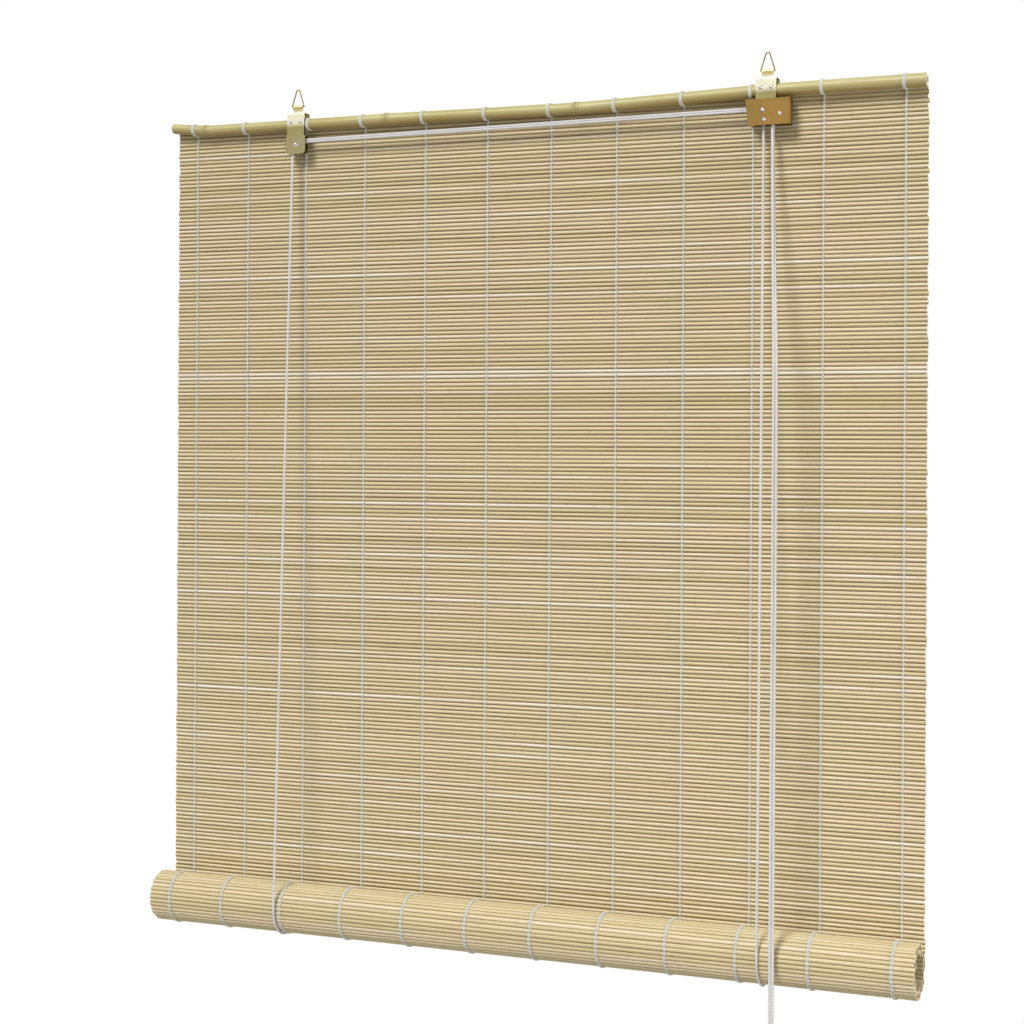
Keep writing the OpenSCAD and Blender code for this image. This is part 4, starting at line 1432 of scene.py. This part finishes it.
@dataclass
class PullCords:
    """Two free strands from the lock to the tassel."""

    growers: Growers
    finish: Material
    frame: dict[str, Any]
    start_x: float = 383.5
    end_x: float = 405.0
    end_y: float = -71.3
    gap: float = 2.1
    drop: float = RIGHT_Z - SHEAVE_EXIT
    split: float = -1205.0
    tail_end: float = -1323.7
    stations: tuple[Point, ...] = (
        (0, 0, -50), (0.055, 0.05, -79), (0.145, 0.13, -127), (0.265, 0.24, -174), (0.395, 0.36, -221),
        (0.545, 0.5, -268), (0.715, 0.66, -316), (0.9, 0.84, -363), (0.995, 0.935, -410), (1.045, 0.985, -458),
        (1.055, 1, -505), (1.05, 1, -640), (1.035, 1, -790), (1.02, 1, -930), (1.01, 1, -1060), (1, 1, -1205))
    bend: float = -505.0
    bend_lift: float = 0.353
    run: float = 3.0
    upper_cut: float = 0.12
    lower_cut: float = 0.55
    route_steps: int = 4
    tail_steps: int = 12

    def strand(self, side: int, y: float) -> list[Point]:
        """Leads a strand from the lock's sheave down to its tail.

        Args:
            side: -1 for the left strand and 1 for the right one.
            y: place of its groove on the sheave.

        Returns:
            Its points.
        """
        reach = self.end_x + side * self.gap - self.start_x
        stations = [(self.start_x, y, self.drop)]
        stations += [(self.start_x + reach * aside, y + (self.end_y - y) * out, z)
                     for aside, out, z in self.stations]
        return smooth_route(stations, self.route_steps)

    def _spans(self) -> tuple[list[Span], Span]:
        """Shares a strand out into spans, each with its top, its bottom and the two bodies that it is listed
        with.

        The spans above the bend are listed with the headrail and the slings, those below it with the slings and
        the tassel's run.

        Returns:
            The spans of the strand and the one of its tail.
        """
        lift_end = self.drop - (self.drop - self.bend) / self.bend_lift
        follow = (1 - self.bend_lift) / self.run
        hang_top = self.bend + (self.bend - self.tail_end) * follow / (1 - follow)
        parting = (hang_top - self.split) / (hang_top - self.tail_end)
        upper = (self.drop, lift_end, Body.HEADRAIL, Body.SLINGS)
        lower = (hang_top, self.tail_end, Body.SLINGS, Body.PULL_END)
        spans = [(Band(0, self.upper_cut), *upper), (Band(self.upper_cut, self.bend_lift), *upper),
                 (Band(follow, self.lower_cut), *lower), (Band(self.lower_cut, parting), *lower)]
        return spans, (Band(parting, 1), *lower)

    def dress(self) -> Pieces:
        """Builds both strands and returns the pieces."""
        pieces: Pieces = []
        spans, tail_span = self._spans()
        for label, side, y in (("left", -1, LOCK_FRONT_Y), ("right", 1, LOCK_REAR_Y)):
            line = self.strand(side, y)
            name = f"{label}_pull_strand"
            for i, (band, top, bottom, upper, lower) in enumerate(spans):
                cut = cut_line(line, top, bottom, band)
                piece = self.growers.strands(f"{name}_{i + 1}", [cut], CORD_D, CORD_SIDES, self.finish)
                band.apply(piece, top, bottom, upper, lower)
                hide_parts(f"{label}_pull_cord")
                pieces.append(piece)
            x = self.end_x + side * self.gap
            fall = (self.tail_end - self.split) / self.tail_steps
            tail = [(x, self.end_y, self.split + fall * i) for i in range(self.tail_steps + 1)]
            piece = self.growers.strands(f"{name}_tail", [tail], CORD_D, CORD_SIDES, self.finish)
            tail_span[0].apply(piece, *tail_span[1:])
            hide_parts(f"{label}_pull_tail")
            pieces.append(piece)
        return pieces


@dataclass
class LockFace:
    """Second layer of sheet on the cord lock, over most of its front and round its fold."""

    finish: Material
    left: float = 371.0
    right: float = 410.5
    front: float = -12.225
    rear: float = -3.0
    bend: float = 2.4
    top: float = RIGHT_Z - 18.6
    bottom: float = RIGHT_Z - 50.2
    gap: float = 0.02
    sheet: float = 0.7
    edge: float = 0.0002
    fold_steps: int = 6

    def _plan(self, out: float) -> list[tuple[float, float]]:
        """Follows the lock's front and fold, seen from above.

        Args:
            out: distance from the lock's own sheet.

        Returns:
            Points in X and Y from the left edge to the rear one.
        """
        x, y, r = self.right - self.bend, self.front + self.bend, self.bend + out
        turns = [math.radians(-90 + 90 * i / self.fold_steps) for i in range(self.fold_steps + 1)]
        return [(self.left, self.front - out), *((x + r * math.cos(a), y + r * math.sin(a)) for a in turns),
                (self.right + out, self.rear)]

    def dress(self) -> Pieces:
        """Builds the layer, fixes it to its body and returns the piece."""
        inner, outer = self._plan(self.gap), self._plan(self.sheet)
        ring = inner + outer[::-1]
        n = len(ring)
        points = [(x, y, z) for z in (self.bottom, self.top) for x, y in ring]
        faces = [(i, (i + 1) % n, n + (i + 1) % n, n + i) for i in range(n)]
        for level in (0, n):
            faces += [(level + i, level + i + 1, level + n - 2 - i, level + n - 1 - i)
                      for i in range(len(inner) - 1)]
        mesh = closed_mesh("lock_face", points, faces, self.edge)
        mesh.materials.append(self.finish)
        piece = linked("lock_face", mesh)
        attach(piece, Body.HEADRAIL.value)
        return [piece]


@dataclass
class Fittings:
    """Metal fittings, rod and tassel that keep their solids and get their finishes."""

    frame: dict[str, Any]
    finishes: dict[Material, tuple[str, ...]]

    def dress(self) -> Pieces:
        """Sets the finish of each solid and returns the pieces."""
        dressed = []
        for material, names in self.finishes.items():
            for name in names:
                piece = self.frame["nodes"][name]
                if not piece.material_slots:
                    piece.data.materials.append(material)
                for slot in piece.material_slots:
                    slot.material = material
                dressed.append(piece)
        return dressed


@dataclass
class Studio:
    """Pale floor, plain soft light, white surroundings and the camera."""

    floor_height: float = -3.7
    floor_radius: float = 1.75
    floor_sides: int = 96
    floor_colours: tuple[Colour, Colour] = ((240, 240, 238), (234, 234, 232))
    position: Point = (1.0956, -2.7337, -0.56186)
    turn: float = 22.07
    roll: float = 0.306
    lens: float = 69.65
    sensor: float = 36.0
    shift_y: float = -0.0597
    surround: float = 0.39
    sun: float = 2.3
    sun_way: Point = (0.25, 0.7, -0.67)
    back_sun: float = 1.3
    back_way: Point = (-0.3, -0.85, -0.4)
    sun_softness: float = 20.0
    fill: float = 30.0
    fill_size: float = 1.2
    fill_place: Point = (3.2, -0.8, -0.5)
    fill_aim: Point = (0.5, 0.0, -1.0)

    @staticmethod
    def _hang(name: str, data: bpy.types.Light, way: Vector) -> bpy.types.Object:
        """Puts a light into the scene and turns it.

        Args:
            name: the light's name.
            data: the light.
            way: direction in which it shines.

        Returns:
            The light's object.
        """
        lamp = linked(name, data)
        lamp.rotation_mode = "QUATERNION"
        lamp.rotation_quaternion = way.to_track_quat("-Z", "Y")
        return lamp

    def _lamp(self, name: str, place: Point, aim: Point, size: float, power: float) -> None:
        """Adds a square soft lamp.

        Args:
            name: the lamp's name.
            place: where it stands.
            aim: what it points at.
            size: side of its face.
            power: its strength in watts.
        """
        data = bpy.data.lights.new(name, "AREA")
        data.shape, data.size, data.energy = "SQUARE", size, power
        self._hang(name, data, Vector(aim) - Vector(place)).location = place

    def _sun(self, name: str, way: Point, strength: float) -> None:
        """Adds an even soft light from far away.

        Args:
            name: the light's name.
            way: direction in which the light travels.
            strength: its power on a square metre.
        """
        data = bpy.data.lights.new(name, "SUN")
        data.energy, data.angle = strength, math.radians(self.sun_softness)
        self._hang(name, data, Vector(way))

    def _world(self) -> None:
        """Makes surroundings that look white and light the object at a plain level."""
        world = bpy.data.worlds.new("white_room")
        world.use_nodes = True
        graph = Graph(world.node_tree)
        path = graph.add("ShaderNodeLightPath").outputs
        seen = graph.math("MAXIMUM", path["Is Camera Ray"],
                          graph.math("MAXIMUM", path["Is Glossy Ray"], path["Is Transmission Ray"]))
        strength = graph.ramp(seen, 0.0, 1.0, self.surround, 1.0)
        sky = graph.add("ShaderNodeBackground", {"Color": (1, 1, 1, 1), "Strength": strength})
        graph.add("ShaderNodeOutputWorld", {0: sky.outputs[0]})
        bpy.context.scene.world = world

    def _floor(self) -> None:
        """Lays a round floor below the tassel's lowest place."""
        mesh = bpy.data.meshes.new("floor")
        r, z, n = self.floor_radius, self.floor_height, self.floor_sides
        rim = [(r * math.cos(a), r * math.sin(a), z) for a in (2 * math.pi * i / n for i in range(n))]
        mesh.from_pydata(rim, [], [tuple(range(n))])
        material, graph, shader = start_material("floor_paper")
        mottle = graph.ramp(graph.noise(graph.place(), 3.0, 3.0), 0.3, 0.7)
        colour = graph.mix(mottle, *map(linear, self.floor_colours))
        graph.fill(shader, {"Base Color": colour, "Roughness": 0.9})
        mesh.materials.append(material)
        floor = linked("floor", mesh)

    def _camera(self) -> None:
        """Sets the camera at the photograph's viewing angle."""
        data = bpy.data.cameras.new("camera")
        data.lens, data.sensor_width, data.shift_y = self.lens, self.sensor, self.shift_y
        camera = linked("camera", data)
        camera.matrix_world = (Matrix.Translation(self.position)
                               @ Matrix.Rotation(math.radians(self.turn), 4, "Z")
                               @ Matrix.Rotation(math.radians(90), 4, "X")
                               @ Matrix.Rotation(math.radians(self.roll), 4, "Z"))
        bpy.context.scene.camera = camera

    def build(self) -> None:
        """Builds the stage."""
        self._world()
        self._floor()
        self._camera()
        self._sun("key", self.sun_way, self.sun)
        self._sun("back", self.back_way, self.back_sun)
        self._lamp("fill", self.fill_place, self.fill_aim, self.fill_size, self.fill)
        bpy.context.scene.view_settings.view_transform = "Standard"


def main() -> None:
    """Builds the blind's pieces in order and reports each of them."""
    logging.basicConfig(level=logging.INFO, format="%(name)s: %(message)s")
    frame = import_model()
    Studio().build()
    effects, growers = Effects(), Growers()
    reed = ReedFinish(effects).material()
    culm = CulmFinish(effects).material()
    string = YarnFinish(effects, "weaving_string", Lay.TWISTED, yarns=2.0, turn=0.006, thread=(219, 219, 209),
                        groove=(183, 183, 174)).material()
    cord = YarnFinish(effects, "braided_cord", Lay.BRAIDED, yarns=4.0, turn=0.009, thread=(226, 224, 222),
                      groove=(176, 172, 170)).material()
    # The strap's low and high colours are painted shade by height on its front.
    strap = MetalFinish(effects, "pale_gold_strap", (228, 222, 198), (200, 190, 152), 0.3,
                        low=(154, 144, 94), high=(186, 172, 122)).material()
    cover = MetalFinish(effects, "olive_brass_cover", (154, 144, 106), (122, 110, 70), 0.38).material()
    lock = MetalFinish(effects, "olive_brown_lock", (136, 109, 60), (110, 86, 44), 0.42).material()
    face = MetalFinish(effects, "golden_brown_face", (144, 112, 61), (118, 89, 45), 0.42).material()
    steel = MetalFinish(effects, "bright_steel", (184, 185, 184), (120, 120, 118), 0.26, size=160.0).material()
    wire = MetalFinish(effects, "brassy_wire", (150, 136, 90), (96, 82, 46), 0.34, size=160.0).material()
    wood = TurnedWoodFinish(effects).material()
    pole, mat, roll = Pole(culm), Mat(growers, reed), Roll()
    makers: list[tuple[str, Callable[[], Pieces]]] = [
        ("lift cords", LiftCords(growers, cord).dress),
        ("pull cords", PullCords(growers, cord, frame).dress),
        ("pole", pole.dress),
        ("mat", mat.dress),
        ("roll", lambda: roll.dress(mat)),
        ("strings", lambda: Strings(growers, string, pole).dress(roll)),
        ("lock face", LockFace(face).dress),
        ("fittings", Fittings(frame, {
            strap: ("left_bracket", "right_bracket"),
            cover: ("left_pulley_cover",),
            lock: ("lock_cover",),
            steel: ("bracket_screws", "left_sheave", "left_sheave_pin", "lock_sheave", "lock_sheave_pin",
                    "lock_rivets", "locking_dog", "dog_pin"),
            wire: ("left_hanger_loop", "right_hanger_loop"),
            culm: ("bottom_rod",),
            wood: ("cord_tassel",)}).dress),
    ]
    for label, dress in makers:
        for piece in dress():
            log.info("%s: %s, %d faces", label, piece.name, len(piece.data.polygons))


if __name__ == "__main__":
    main()
